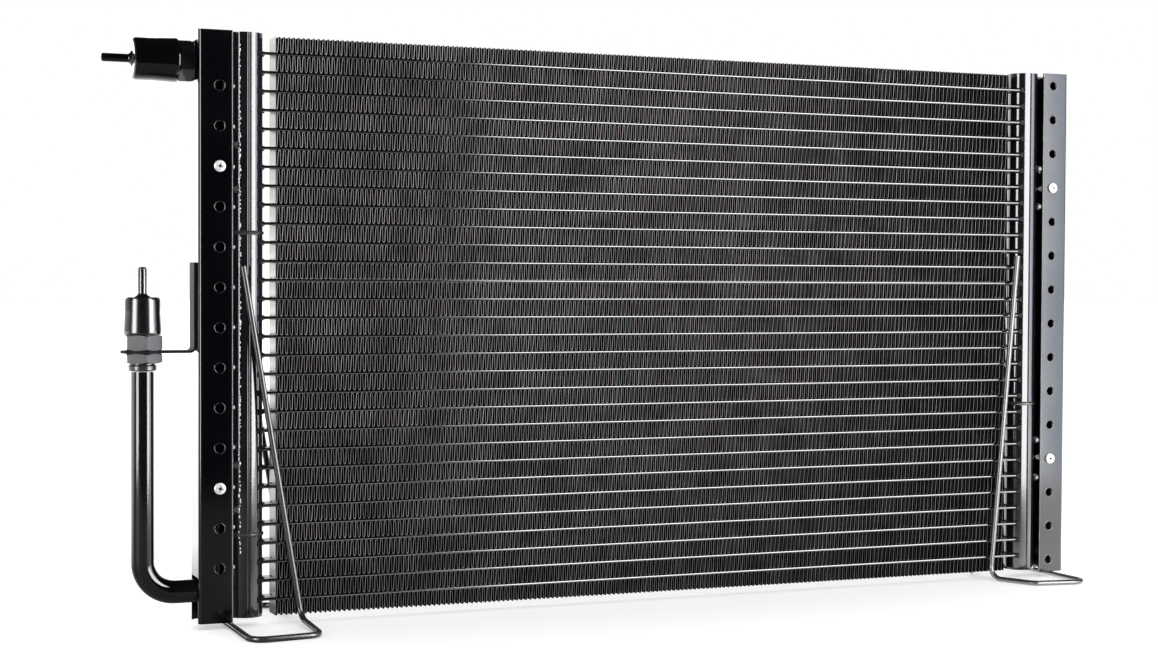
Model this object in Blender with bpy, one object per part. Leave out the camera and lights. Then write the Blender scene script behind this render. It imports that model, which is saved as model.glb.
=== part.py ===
"""Finned condenser coil with parallel flat tubes, round headers and side brackets.

All sub-parts are placed around the middle of the core and carried by one empty,
which stands the coil on the ground with the origin under the middle of its box.
X runs along the tubes, Y from the front face to the back, and Z up.
"""

import math

import bmesh
import bpy
from mathutils import Matrix, Vector

MM = 0.001

# Clearance between pieces that touch on the finished coil
GAP = 0.3 * MM

# Tubes and fins
TUBE_COUNT = 30
TUBE_PITCH = 12.0 * MM
TUBE_HEIGHT = 2.0 * MM
TUBE_WIDTH = 18.0 * MM
TUBE_NOSE = 0.8 * MM
TUBE_END_STEPS = 4
FIN_DEPTH = 16.0 * MM
FIN_THICKNESS = 1.3 * MM
FIN_LEGS = 20
FIN_SETBACK = 18.0 * MM
FIN_BRAZE = 0.2 * MM

# Headers
HEADER_SPAN = 592.0 * MM
HEADER_DIAMETER = 22.0 * MM
HEADER_WALL = 2.2 * MM
HEADER_OVERRUN = 10.0 * MM
SEAM_GROOVE_WIDTH = 3.6 * MM
SEAM_GROOVE_DEPTH = 1.3 * MM
HALF_SHELL_STEPS = 8
END_CAP_THICKNESS = 3.0 * MM
END_CAP_RECESS = 1.2 * MM
END_CAP_EDGE = 0.8 * MM
BAFFLE_THICKNESS = 1.6 * MM
BAFFLE_PROUD = 0.5 * MM
BAFFLE_HALF_ANGLE = math.radians(55)
LEFT_UPPER_BAFFLE_BELOW = 10
LEFT_LOWER_BAFFLE_BELOW = 26
RIGHT_BAFFLE_BELOW = 20

# Side brackets
BRACKET_LENGTH = 374.2 * MM
BRACKET_SHEET = 1.6 * MM
BRACKET_WIDTH = 21.5 * MM
BRACKET_DEPTH = 25.0 * MM
BRACKET_BEND = 2.6 * MM
BRACKET_REVEAL = 10.7 * MM
BRACKET_FRONT = 12.0 * MM
HOLE_PITCH = 25.4 * MM
HOLE_DIAMETER = 6.35 * MM
HOLE_SETBACK = 8.3 * MM
HOLE_SIDES = 8
HOLE_END_MARGIN = 6.0 * MM
SCREW_ROW = 4

# Clips and screws
CLIP_SHEET = 1.5 * MM
CLIP_HEIGHT = 33.0 * MM
CLIP_ARM_HEIGHT = 4.8 * MM
CLIP_PAD_START = 12.5 * MM
CLIP_PAD_END = 27.0 * MM
SCREW_HEAD_DIAMETER = 8.0 * MM
SCREW_HEAD_HEIGHT = 2.4 * MM
SCREW_SHANK_DIAMETER = 4.0 * MM
SCREW_LENGTH = 19.0 * MM
SCREW_TIP = 4.0 * MM
SCREW_SIDES = 10

# Pipework
PIPE_DIAMETER = 13.5 * MM
PIPE_BEND = 20.0 * MM
PIPE_DROP = 167.2 * MM
PIPE_STANDOFF = 33.0 * MM
PIPE_SIDES_RESOLUTION = 4
PIPE_IN_TANK = 4.0 * MM
TURNED_SIDES = 12
FITTING_HEX = 21.0 * MM
FITTING_THREAD_DIAMETER = 16.0 * MM

# Inlet fitting
INLET_RISE = 167.7 * MM
INLET_HEX_START = 1.5 * MM
INLET_HEX_LENGTH = 9.8 * MM
INLET_NOSE_LENGTH = 18.0 * MM
CAP_BORE_CLEARANCE = 0.4 * MM
CAP_END_WALL = 4.0 * MM
CAP_EDGE = 1.0 * MM
INLET_CAP_LENGTH = 28.0 * MM
INLET_CAP_DIAMETER = 25.0 * MM
INLET_CAP_MOUTH_DIAMETER = 26.6 * MM
CAP_STEM_DIAMETER = 4.8 * MM
CAP_STEM_LENGTH = 19.0 * MM
CAP_STEM_CHAMFER = 0.8 * MM

# Outlet fitting
OUTLET_PLATE_LEVEL = 15.0 * MM
OUTLET_PLATE_SHEET = 2.0 * MM
OUTLET_PLATE_WIDTH = 13.0 * MM
OUTLET_PLATE_EYE = 27.0 * MM
OUTLET_PLATE_RISE = 57.0 * MM
OUTLET_PLATE_BEND = 4.0 * MM
OUTLET_HEX_HEIGHT = 9.0 * MM
OUTLET_HEX_TURN = math.radians(33)
OUTLET_NOSE_LENGTH = 17.0 * MM
NUT_HEIGHT = 6.0 * MM
COLLAR_DIAMETER = 17.8 * MM
COLLAR_HEIGHT = 4.0 * MM
COLLAR_BELOW_NUT = 1.0 * MM
OUTLET_CAP_LENGTH = 23.5 * MM
OUTLET_CAP_DIAMETER = 20.8 * MM
OUTLET_CAP_MOUTH_DIAMETER = 20.8 * MM

# Cut-outs for the pipework in the left bracket's web
WEB_WINDOW_WIDTH = 18.5 * MM
WEB_WINDOW_TOP = 6.2 * MM
WEB_WINDOW_HEIGHT = 25.0 * MM
WEB_NOTCH_HEIGHT = 29.0 * MM

# Wire stands, measured from the header's axis towards the core and to the front
WIRE_DIAMETER = 4.0 * MM
WIRE_BEND = 9.0 * MM
WIRE_BEND_STEPS = 2
LEFT_STAND = {
    "leg_top": -4.4 * MM,
    "leg_rise": 38.8 * MM,
    "leg_foot": 34.0 * MM,
    "inner_corner": 38.0 * MM,
    "inner_reach": 61.0 * MM,
    "outer_corner": -13.0 * MM,
    "outer_reach": 66.0 * MM,
}
RIGHT_STAND = {
    "leg_top": 12.7 * MM,
    "leg_rise": 50.3 * MM,
    "leg_foot": 32.5 * MM,
    "inner_corner": 17.0 * MM,
    "inner_reach": 46.0 * MM,
    "outer_corner": -24.0 * MM,
    "outer_reach": 53.0 * MM,
}

# Sizes that follow from the ones above
HEADER_RADIUS = HEADER_DIAMETER / 2
HEADER_BORE = HEADER_RADIUS - HEADER_WALL
HEADER_X = HEADER_SPAN / 2
TOP_TUBE_Z = (TUBE_COUNT - 1) / 2 * TUBE_PITCH
HEADER_TOP = TOP_TUBE_Z + HEADER_OVERRUN + TUBE_HEIGHT / 2
PIPE_RADIUS = PIPE_DIAMETER / 2
THREAD_RADIUS = FITTING_THREAD_DIAMETER / 2
CLAMP_Y = -BRACKET_FRONT
BRACKET_INNER_X = HEADER_X + BRACKET_REVEAL
BRACKET_OUTER_X = BRACKET_INNER_X + BRACKET_WIDTH
HOLE_X = BRACKET_INNER_X + HOLE_SETBACK
RIGHT_HOLE_ROWS = int((BRACKET_LENGTH / 2 - HOLE_END_MARGIN) / HOLE_PITCH)
LEFT_HOLE_ROWS = RIGHT_HOLE_ROWS - 1
PIPE_X = -(BRACKET_OUTER_X + PIPE_STANDOFF)
WIRE_RADIUS = WIRE_DIAMETER / 2
GROUND_Z = -BRACKET_LENGTH / 2 - GAP - WIRE_DIAMETER
INLET_CAP_MOUTH_X = -(BRACKET_OUTER_X + INLET_HEX_START + INLET_HEX_LENGTH + GAP)
LEFT_REACH = -INLET_CAP_MOUTH_X + INLET_CAP_LENGTH + CAP_STEM_LENGTH
CENTRE_X = (BRACKET_OUTER_X - LEFT_REACH) / 2


def clear_scene():
    """Remove every object that the file opens with."""
    for old in list(bpy.data.objects):
        bpy.data.objects.remove(old, do_unlink=True)


def make_material(name, colour, roughness, metallic=0.0):
    """A plain surface with its own colour, roughness and metallic value."""
    material = bpy.data.materials.new(name)
    material.use_nodes = True
    shader = material.node_tree.nodes["Principled BSDF"]
    shader.inputs["Base Color"].default_value = (*colour, 1.0)
    shader.inputs["Roughness"].default_value = roughness
    shader.inputs["Metallic"].default_value = metallic
    return material


def add_mesh(name, shape, material=None):
    """Put a bmesh into the scene as an object under the frame."""
    bmesh.ops.recalc_face_normals(shape, faces=shape.faces)
    mesh = bpy.data.meshes.new(name)
    shape.to_mesh(mesh)
    shape.free()
    piece = bpy.data.objects.new(name, mesh)
    bpy.context.collection.objects.link(piece)
    piece.parent = frame
    if material is not None:
        mesh.materials.append(material)
    return piece


def smooth_by_angle(piece, angle=math.radians(35)):
    """Shade round stretches smooth and keep the edges sharp."""
    piece.data.shade_smooth()
    piece.data.set_sharp_from_angle(angle=angle)
    return piece


def prism(outline, start, end, across):
    """Extrude a flat outline from start to end.

    across is the axis of the extrusion: Y takes (x, z) pairs, Z takes (x, y) pairs.
    """
    shape = bmesh.new()
    if across == "Y":
        corners = [shape.verts.new((x, start, z)) for x, z in outline]
        travel = Vector((0, end - start, 0))
    else:
        corners = [shape.verts.new((x, y, start)) for x, y in outline]
        travel = Vector((0, 0, end - start))
    base = shape.faces.new(corners)
    swept = bmesh.ops.extrude_face_region(shape, geom=[base])
    moved = [item for item in swept["geom"] if isinstance(item, bmesh.types.BMVert)]
    bmesh.ops.translate(shape, verts=moved, vec=travel)
    return shape


def turned(profile, sides):
    """Spin a list of (radius, height) pairs around Z, closing it on the axis."""
    shape = bmesh.new()
    corners = [shape.verts.new((radius, 0, height)) for radius, height in profile]
    edges = [shape.edges.new(pair) for pair in zip(corners, corners[1:])]
    bmesh.ops.spin(
        shape,
        geom=corners + edges,
        cent=(0, 0, 0),
        axis=(0, 0, 1),
        angle=math.tau,
        steps=sides,
        use_merge=True,
    )
    bmesh.ops.remove_doubles(shape, verts=shape.verts, dist=0.01 * MM)
    return shape


def hexagon(across_flats, turn=0.0):
    """Corner points of a hexagon, the first one on the X axis before the turn."""
    radius = across_flats / math.sqrt(3)
    angles = [turn + math.radians(60) * corner for corner in range(6)]
    return [(radius * math.cos(angle), radius * math.sin(angle)) for angle in angles]


def arc(radius, first, last, steps, centre=(0.0, 0.0)):
    """Points on an arc from the first angle to the last."""
    points = []
    for step in range(steps + 1):
        angle = first + (last - first) * step / steps
        points.append((centre[0] + radius * math.cos(angle), centre[1] + radius * math.sin(angle)))
    return points


def place(shape, axis="Z", at=(0, 0, 0)):
    """Turn a shape's Z axis to point along axis and move it to its place."""
    turn = Vector((0, 0, 1)).rotation_difference(Vector(axis)) if axis != "Z" else None
    if turn is not None:
        bmesh.ops.transform(shape, matrix=turn.to_matrix().to_4x4(), verts=shape.verts)
    bmesh.ops.translate(shape, verts=shape.verts, vec=Vector(at))
    return shape


def combine(piece, tool, operation):
    """Cut or join two meshes for good and remove the tool."""
    modifier = piece.modifiers.new("Combine", "BOOLEAN")
    modifier.operation = operation
    modifier.solver = "EXACT"
    modifier.object = tool
    depsgraph = bpy.context.evaluated_depsgraph_get()
    result = bpy.data.meshes.new_from_object(piece.evaluated_get(depsgraph))
    piece.modifiers.clear()
    old = piece.data
    piece.data = result
    name = old.name
    bpy.data.meshes.remove(old)
    result.name = name
    bpy.data.objects.remove(tool, do_unlink=True)
    return piece


def cylinders(places, radius, sides, length):
    """One mesh of parallel cylinders along Y, used as a drill."""
    shape = bmesh.new()
    along_y = Matrix.Rotation(math.radians(90), 4, "X")
    half_side = Matrix.Rotation(math.pi / sides, 4, "Z")
    for point in places:
        bmesh.ops.create_cone(
            shape,
            cap_ends=True,
            segments=sides,
            radius1=radius,
            radius2=radius,
            depth=length,
            matrix=Matrix.Translation(Vector(point)) @ along_y @ half_side,
        )
    return shape


def rounded_path(points, bend, steps):
    """Replace each inner corner of a path by an arc of the bend radius."""
    path = [points[0]]
    for before, corner, after in zip(points, points[1:], points[2:]):
        inward = (before - corner).normalized()
        outward = (after - corner).normalized()
        half = inward.angle(outward) / 2
        setback = bend / math.tan(half)
        middle = (inward + outward).normalized()
        centre = corner + middle * (bend / math.sin(half))
        start = corner + inward * setback - centre
        finish = corner + outward * setback - centre
        for step in range(steps + 1):
            turned_by = start.angle(finish) * step / steps
            turn = Matrix.Rotation(turned_by, 3, start.cross(finish))
            path.append(centre + turn @ start)
    path.append(points[-1])
    return path


def rod(name, path, radius, resolution, material):
    """A round bar along a path, made by a curve with a bevel and filled caps."""
    curve = bpy.data.curves.new(name, "CURVE")
    curve.dimensions = "3D"
    curve.bevel_depth = radius
    curve.bevel_resolution = resolution
    curve.use_fill_caps = True
    line = curve.splines.new("POLY")
    line.points.add(len(path) - 1)
    for point, place_on_path in zip(line.points, path):
        point.co = (*place_on_path, 1.0)
    curve.materials.append(material)
    piece = bpy.data.objects.new(name, curve)
    bpy.context.collection.objects.link(piece)
    piece.parent = frame
    return piece


def tube_shape(z):
    """A flat tube with pointed noses, its ends coped to the round headers."""
    shape = bmesh.new()
    flat = TUBE_WIDTH / 2 - TUBE_NOSE
    reach = HEADER_RADIUS + GAP
    stations = [-flat + 2 * flat * step / TUBE_END_STEPS for step in range(TUBE_END_STEPS + 1)]
    rings = []
    for side in (-1, 1):
        nose_x = side * (HEADER_X - math.sqrt(reach**2 - (TUBE_WIDTH / 2) ** 2))
        front = shape.verts.new((nose_x, -TUBE_WIDTH / 2, z))
        back = shape.verts.new((nose_x, TUBE_WIDTH / 2, z))
        ends = [side * (HEADER_X - math.sqrt(reach**2 - y**2)) for y in stations]
        top = [shape.verts.new((x, y, z + TUBE_HEIGHT / 2)) for x, y in zip(ends, stations)]
        low = [shape.verts.new((x, y, z - TUBE_HEIGHT / 2)) for x, y in zip(ends, stations)]
        rings.append([front] + top + [back] + low[::-1])
        shape.faces.new(rings[-1])
    left, right = rings
    for index in range(len(left)):
        following = (index + 1) % len(left)
        shape.faces.new((left[index], left[following], right[following], right[index]))
    bmesh.ops.recalc_face_normals(shape, faces=shape.faces)
    ends = [face for face in shape.faces if len(face.verts) == len(left)]
    bmesh.ops.triangulate(shape, faces=ends)
    return shape


def fin_shape(tube_z, side):
    """A corrugated fin strip above or below a tube, brazed to it at both end folds."""
    length = 2 * (HEADER_X - FIN_SETBACK)
    room = TUBE_PITCH - TUBE_HEIGHT - 2 * GAP
    pitch = length / FIN_LEGS
    lift = FIN_THICKNESS * math.hypot(1, room / pitch) / 2
    swing = room / 2 - lift
    middle = tube_z + side * TUBE_PITCH / 2
    folds = []
    for leg in range(FIN_LEGS + 1):
        near_tube = leg % 2 == 0
        braze = GAP + FIN_BRAZE if leg in (0, FIN_LEGS) else 0.0
        height = -(swing + braze) if near_tube else swing
        folds.append((leg * pitch - length / 2, middle + side * height))
    outline = [(x, z + lift) for x, z in folds]
    outline += [(x, z - lift) for x, z in reversed(folds)]
    return prism(outline, -FIN_DEPTH / 2, FIN_DEPTH / 2, "Y")


def build_core(material):
    """Flat tubes, each brazed to the fin strip below it; the top one has two strips."""
    for index in range(TUBE_COUNT):
        z = TOP_TUBE_Z - index * TUBE_PITCH
        piece = add_mesh(f"tube_and_fin_{index + 1:02d}", tube_shape(z), material)
        sides = (-1, 1) if index == 0 else (-1,)
        for side in sides:
            combine(piece, add_mesh("strip", fin_shape(z, side)), "UNION")


def half_shell(header_x, outward):
    """Half of a round header, split on the seam that runs down its front and back."""
    seam = GAP / 2
    groove = math.asin(SEAM_GROOVE_WIDTH / 2 / HEADER_RADIUS)
    quarter = math.radians(90)
    seam_y = HEADER_RADIUS - SEAM_GROOVE_DEPTH
    outer = arc(HEADER_RADIUS, -quarter + groove, quarter - groove, HALF_SHELL_STEPS)
    bore_seam = math.asin(seam / HEADER_BORE)
    inner = arc(HEADER_BORE, quarter - bore_seam, -quarter + bore_seam, HALF_SHELL_STEPS)
    outline = [(seam, -seam_y)] + outer + [(seam, seam_y)] + inner
    placed = [(header_x + outward * x, y) for x, y in outline]
    return prism(placed, -HEADER_TOP, HEADER_TOP, "Z")


def baffle_outline(header_x, front_radius, half_angle):
    """A disc in the header's bore with a wider sector that shows at the front."""
    front = math.radians(-90)
    loose = HEADER_BORE - GAP
    outline = arc(front_radius, front - half_angle, front + half_angle, HALF_SHELL_STEPS - 2)
    back_arc = arc(loose, front + half_angle, front - half_angle + math.tau, HALF_SHELL_STEPS)
    return [(header_x + x, y) for x, y in outline + back_arc]


def sector_outline(header_x):
    """A wedge from inside the bore to beyond the front, used to saw a baffle's slot."""
    front = math.radians(-90)
    half_angle = BAFFLE_HALF_ANGLE + GAP / HEADER_BORE
    beyond = HEADER_RADIUS * 2
    inside = HEADER_BORE / 2
    outline = arc(beyond, front - half_angle, front + half_angle, HALF_SHELL_STEPS)
    outline += arc(inside, front + half_angle, front - half_angle, 2)
    return [(header_x + x, y) for x, y in outline]


def baffle_level(tubes_above):
    """Middle of the gap below the given number of tubes."""
    return TOP_TUBE_Z - (tubes_above - 0.5) * TUBE_PITCH


def build_baffle(name, header_x, level, material):
    """A partition disc that reaches out through a slot in the header's front."""
    outline = baffle_outline(header_x, HEADER_RADIUS + BAFFLE_PROUD, BAFFLE_HALF_ANGLE)
    half = BAFFLE_THICKNESS / 2
    add_mesh(name, prism(outline, level - half, level + half, "Z"), material)


def pipe_hole(header_x, level):
    """A drill along X through the outer wall of the left tank."""
    shape = turned(
        [
            (0, 0),
            (PIPE_RADIUS + GAP, 0),
            (PIPE_RADIUS + GAP, HEADER_DIAMETER),
            (0, HEADER_DIAMETER),
        ],
        TURNED_SIDES,
    )
    return place(shape, (-1, 0, 0), (header_x, 0, level))


def build_header(side_name, side, baffles, pipe_levels, materials):
    """Header plate on the core's side, tank on the outer side, caps and baffles."""
    header_x = side * HEADER_X
    plate = add_mesh(f"{side_name}_header_plate", half_shell(header_x, -side), materials["header"])
    tank = add_mesh(f"{side_name}_header_tank", half_shell(header_x, side), materials["header"])
    half_slot = BAFFLE_THICKNESS / 2 + GAP
    for name, level in baffles:
        for shell in (plate, tank):
            saw = prism(sector_outline(header_x), level - half_slot, level + half_slot, "Z")
            combine(shell, add_mesh("saw", saw), "DIFFERENCE")
        build_baffle(name, header_x, level, materials["header"])
    for level in pipe_levels:
        combine(tank, add_mesh("drill", pipe_hole(header_x, level)), "DIFFERENCE")
    smooth_by_angle(plate)
    smooth_by_angle(tank)
    radius = HEADER_BORE - GAP
    thickness = END_CAP_THICKNESS
    profile = [
        (0, 0),
        (radius, 0),
        (radius, thickness - END_CAP_EDGE),
        (radius - END_CAP_EDGE, thickness),
        (0, thickness),
    ]
    for end_name, end in (("top", 1), ("bottom", -1)):
        foot = (header_x, 0, end * (HEADER_TOP - END_CAP_RECESS - thickness))
        cap = place(turned(profile, 2 * HALF_SHELL_STEPS), (0, 0, end), foot)
        smooth_by_angle(add_mesh(f"{side_name}_{end_name}_end_cap", cap, materials["header"]))


def channel_outline(side):
    """Cross-section of a side bracket: two flanges that face the header and a web."""
    outer = BRACKET_BEND
    inner = BRACKET_BEND - BRACKET_SHEET
    front = -BRACKET_FRONT
    back = front + BRACKET_DEPTH
    web = BRACKET_OUTER_X
    tip = BRACKET_INNER_X
    sheet = BRACKET_SHEET
    right = 0.0
    down = math.radians(-90)
    up = math.radians(90)
    outline = [(tip, front)]
    outline += arc(outer, down, right, 2, (web - outer, front + outer))
    outline += arc(outer, right, up, 2, (web - outer, back - outer))
    outline += [(tip, back), (tip, back - sheet)]
    outline += arc(inner, up, right, 2, (web - outer, back - outer))
    outline += arc(inner, right, down, 2, (web - outer, front + outer))
    outline += [(tip, front + sheet)]
    return [(side * x, y) for x, y in outline]


def build_bracket(side_name, side, hole_rows, material):
    """A channel with a row of holes in its front flange."""
    half = BRACKET_LENGTH / 2
    shape = prism(channel_outline(side), -half, half, "Z")
    bracket = add_mesh(f"{side_name}_side_bracket", shape, material)
    screw_rows = (-SCREW_ROW, SCREW_ROW)
    plain = [row for row in range(-hole_rows, hole_rows + 1) if row not in screw_rows]
    depth = 4 * BRACKET_SHEET
    plain_holes = [(side * HOLE_X, CLAMP_Y, row * HOLE_PITCH) for row in plain]
    screw_holes = [(side * HOLE_X, CLAMP_Y, row * HOLE_PITCH) for row in screw_rows]
    drill = cylinders(plain_holes, HOLE_DIAMETER / 2, HOLE_SIDES, depth)
    combine(bracket, add_mesh("drill", drill), "DIFFERENCE")
    clear = SCREW_SHANK_DIAMETER / 2 + GAP
    small_drill = cylinders(screw_holes, clear, SCREW_SIDES, depth)
    combine(bracket, add_mesh("drill", small_drill), "DIFFERENCE")
    return bracket


def open_web(bracket):
    """Window for the inlet and notch for the outlet in the left bracket's web."""
    half = BRACKET_LENGTH / 2
    middle_y = BRACKET_DEPTH / 2 - BRACKET_FRONT
    half_width = WEB_WINDOW_WIDTH / 2
    outside = -BRACKET_OUTER_X - BRACKET_SHEET
    inside = -BRACKET_OUTER_X + 3 * BRACKET_SHEET
    outline = [
        (outside, middle_y - half_width),
        (inside, middle_y - half_width),
        (inside, middle_y + half_width),
        (outside, middle_y + half_width),
    ]
    window_top = half - WEB_WINDOW_TOP
    window = prism(outline, window_top - WEB_WINDOW_HEIGHT, window_top, "Z")
    combine(bracket, add_mesh("saw", window), "DIFFERENCE")
    notch = prism(outline, -half - BRACKET_SHEET, -half + WEB_NOTCH_HEIGHT, "Z")
    combine(bracket, add_mesh("saw", notch), "DIFFERENCE")


def build_clip(side_name, level_name, side, level, material):
    """A forked plate behind the flange, its two arms welded to the tank."""
    front = CLAMP_Y + BRACKET_SHEET + GAP
    back = front + CLIP_SHEET
    reach = math.sqrt((HEADER_RADIUS + GAP) ** 2 - back**2)
    half = CLIP_HEIGHT / 2
    arm = half - CLIP_ARM_HEIGHT
    offsets = [
        (reach, half),
        (CLIP_PAD_END, half),
        (CLIP_PAD_END, -half),
        (reach, -half),
        (reach, -arm),
        (CLIP_PAD_START, -arm),
        (CLIP_PAD_START, arm),
        (reach, arm),
    ]
    outline = [(side * (HEADER_X + x), level + z) for x, z in offsets]
    clip = add_mesh(f"{side_name}_{level_name}_clip", prism(outline, front, back, "Y"), material)
    hole = (side * HOLE_X, (front + back) / 2, level)
    drill = cylinders([hole], SCREW_SHANK_DIAMETER / 2 + GAP, SCREW_SIDES, 4 * CLIP_SHEET)
    combine(clip, add_mesh("drill", drill), "DIFFERENCE")


def build_screw(side_name, level_name, side, level, material):
    """A pan head screw through the flange and the clip, pointing to the back."""
    head = SCREW_HEAD_DIAMETER / 2
    shank = SCREW_SHANK_DIAMETER / 2
    profile = [
        (0, -SCREW_HEAD_HEIGHT),
        (head * 0.62, -SCREW_HEAD_HEIGHT),
        (head, -SCREW_HEAD_HEIGHT * 0.4),
        (head, 0),
        (shank, 0),
        (shank, SCREW_LENGTH - SCREW_TIP),
        (0, SCREW_LENGTH),
    ]
    shape = place(turned(profile, SCREW_SIDES), (0, 1, 0), (side * HOLE_X, CLAMP_Y - GAP, level))
    smooth_by_angle(add_mesh(f"{side_name}_{level_name}_screw", shape, material))


def cap_profile(length, diameter, mouth_diameter, bore_depth):
    """A hollow cap with a stem, its mouth at height zero and its stem on top."""
    stem = CAP_STEM_DIAMETER / 2
    tip = length + CAP_STEM_LENGTH
    bore = THREAD_RADIUS + CAP_BORE_CLEARANCE
    return [
        (0, tip),
        (stem - CAP_STEM_CHAMFER, tip),
        (stem, tip - CAP_STEM_CHAMFER),
        (stem, length),
        (diameter / 2 - CAP_EDGE, length),
        (diameter / 2, length - CAP_EDGE),
        (mouth_diameter / 2, 0),
        (bore, 0),
        (bore, bore_depth),
        (0, bore_depth),
    ]


def build_inlet(materials):
    """Fitting on the left tank and its cap, both along -X near the top."""
    hex_start = BRACKET_OUTER_X + INLET_HEX_START
    hex_end = hex_start + INLET_HEX_LENGTH
    tank_end = HEADER_X + PIPE_IN_TANK
    nose_end = hex_end + INLET_NOSE_LENGTH
    profile = [
        (0, tank_end),
        (PIPE_RADIUS, tank_end),
        (PIPE_RADIUS, hex_start + INLET_HEX_LENGTH / 2),
        (THREAD_RADIUS, hex_start + INLET_HEX_LENGTH / 2),
        (THREAD_RADIUS, nose_end),
        (0, nose_end),
    ]
    axis = (-1, 0, 0)
    seat = (0, 0, INLET_RISE)
    shape = place(turned(profile, TURNED_SIDES), axis, seat)
    fitting = add_mesh("inlet_fitting", shape, materials["header"])
    flats = prism(hexagon(FITTING_HEX), hex_start, hex_end, "Z")
    combine(fitting, add_mesh("flats", place(flats, axis, seat)), "UNION")
    smooth_by_angle(fitting)
    depth = INLET_NOSE_LENGTH + CAP_BORE_CLEARANCE
    profile = cap_profile(INLET_CAP_LENGTH, INLET_CAP_DIAMETER, INLET_CAP_MOUTH_DIAMETER, depth)
    mouth = (INLET_CAP_MOUTH_X, 0, INLET_RISE)
    cap = place(turned(profile, TURNED_SIDES), axis, mouth)
    smooth_by_angle(add_mesh("inlet_cap", cap, materials["cap"]))


def build_outlet(materials):
    """Pipe from the left tank's foot up to a fitting held by a bracket plate."""
    plate_low = -OUTLET_PLATE_LEVEL - OUTLET_PLATE_SHEET / 2
    plate_top = plate_low + OUTLET_PLATE_SHEET
    nut_top = plate_low - GAP
    nut_low = nut_top - NUT_HEIGHT
    collar_top = nut_low - COLLAR_BELOW_NUT
    collar_low = collar_top - COLLAR_HEIGHT
    hex_low = plate_top + GAP
    hex_top = hex_low + OUTLET_HEX_HEIGHT
    nose_top = hex_top + OUTLET_NOSE_LENGTH
    seat = (PIPE_X, 0, 0)

    corners = [
        Vector((-HEADER_X - PIPE_IN_TANK, 0, -PIPE_DROP)),
        Vector((PIPE_X, 0, -PIPE_DROP)),
        Vector((PIPE_X, 0, collar_low - GAP)),
    ]
    path = rounded_path(corners, PIPE_BEND, 8)
    rod("outlet_pipe", path, PIPE_RADIUS, PIPE_SIDES_RESOLUTION, materials["header"])

    profile = [
        (0, collar_low),
        (COLLAR_DIAMETER / 2, collar_low),
        (COLLAR_DIAMETER / 2, collar_top),
        (THREAD_RADIUS, collar_top),
        (THREAD_RADIUS, nose_top),
        (0, nose_top),
    ]
    shape = place(turned(profile, TURNED_SIDES), "Z", seat)
    fitting = add_mesh("outlet_fitting", shape, materials["header"])
    flats = prism(hexagon(FITTING_HEX, OUTLET_HEX_TURN), hex_low, hex_top, "Z")
    combine(fitting, add_mesh("flats", place(flats, "Z", seat)), "UNION")
    smooth_by_angle(fitting)

    shape = prism(hexagon(FITTING_HEX, OUTLET_HEX_TURN), nut_low, nut_top, "Z")
    nut = add_mesh("outlet_nut", place(shape, "Z", seat), materials["header"])
    bore = THREAD_RADIUS + GAP
    drill = turned([(0, collar_low), (bore, collar_low), (bore, 0), (0, 0)], TURNED_SIDES)
    combine(nut, add_mesh("drill", place(drill, "Z", seat)), "DIFFERENCE")
    smooth_by_angle(nut)

    depth = OUTLET_NOSE_LENGTH + CAP_BORE_CLEARANCE
    profile = cap_profile(OUTLET_CAP_LENGTH, OUTLET_CAP_DIAMETER, OUTLET_CAP_MOUTH_DIAMETER, depth)
    mouth = (PIPE_X, 0, hex_top + GAP)
    cap = place(turned(profile, TURNED_SIDES), "Z", mouth)
    smooth_by_angle(add_mesh("outlet_cap", cap, materials["cap"]))


def build_outlet_plate(material):
    """An L-shaped strap on the bracket's web with a round eye for the fitting."""
    sheet = OUTLET_PLATE_SHEET
    web_x = -BRACKET_OUTER_X - GAP
    low = -OUTLET_PLATE_LEVEL - sheet / 2
    bend = OUTLET_PLATE_BEND
    centre = (web_x - bend, low + bend)
    down = math.radians(-90)
    outline = [(PIPE_X, low)]
    outline += arc(bend, down, 0.0, 3, centre)
    outline += [(web_x, low + OUTLET_PLATE_RISE), (web_x - sheet, low + OUTLET_PLATE_RISE)]
    outline += arc(bend - sheet, 0.0, down, 3, centre)
    outline += [(PIPE_X, low + sheet)]
    half = OUTLET_PLATE_WIDTH / 2
    plate = add_mesh("outlet_bracket_plate", prism(outline, -half, half, "Y"), material)
    eye = OUTLET_PLATE_EYE / 2
    disc = turned([(0, low), (eye, low), (eye, low + sheet), (0, low + sheet)], 2 * TURNED_SIDES)
    combine(plate, add_mesh("eye", place(disc, "Z", (PIPE_X, 0, 0))), "UNION")
    bore = THREAD_RADIUS + GAP
    drill = turned([(0, low - sheet), (bore, low - sheet), (bore, 0), (0, 0)], TURNED_SIDES)
    combine(plate, add_mesh("drill", place(drill, "Z", (PIPE_X, 0, 0))), "DIFFERENCE")


def build_stand(side_name, side, shape, material):
    """One bent wire: a leg on each face of the coil and a flat loop under it."""
    ground = GROUND_Z + WIRE_RADIUS
    over_header = HEADER_RADIUS + WIRE_RADIUS + 2 * GAP
    over_tubes = TUBE_WIDTH / 2 + WIRE_RADIUS + GAP

    def point(offset, y, z):
        return Vector((side * (HEADER_X - offset), y, z))

    front_half = [
        point(shape["leg_top"], -over_header, shape["leg_rise"]),
        point(shape["leg_foot"], -over_tubes, ground),
        point(shape["inner_corner"], -shape["inner_reach"], ground),
        point(shape["outer_corner"], -shape["outer_reach"], ground),
    ]
    back_half = [Vector((corner.x, -corner.y, corner.z)) for corner in reversed(front_half)]
    path = rounded_path(front_half + back_half, WIRE_BEND, WIRE_BEND_STEPS)
    rod(f"{side_name}_stand", path, WIRE_RADIUS, 2, material)


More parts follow.
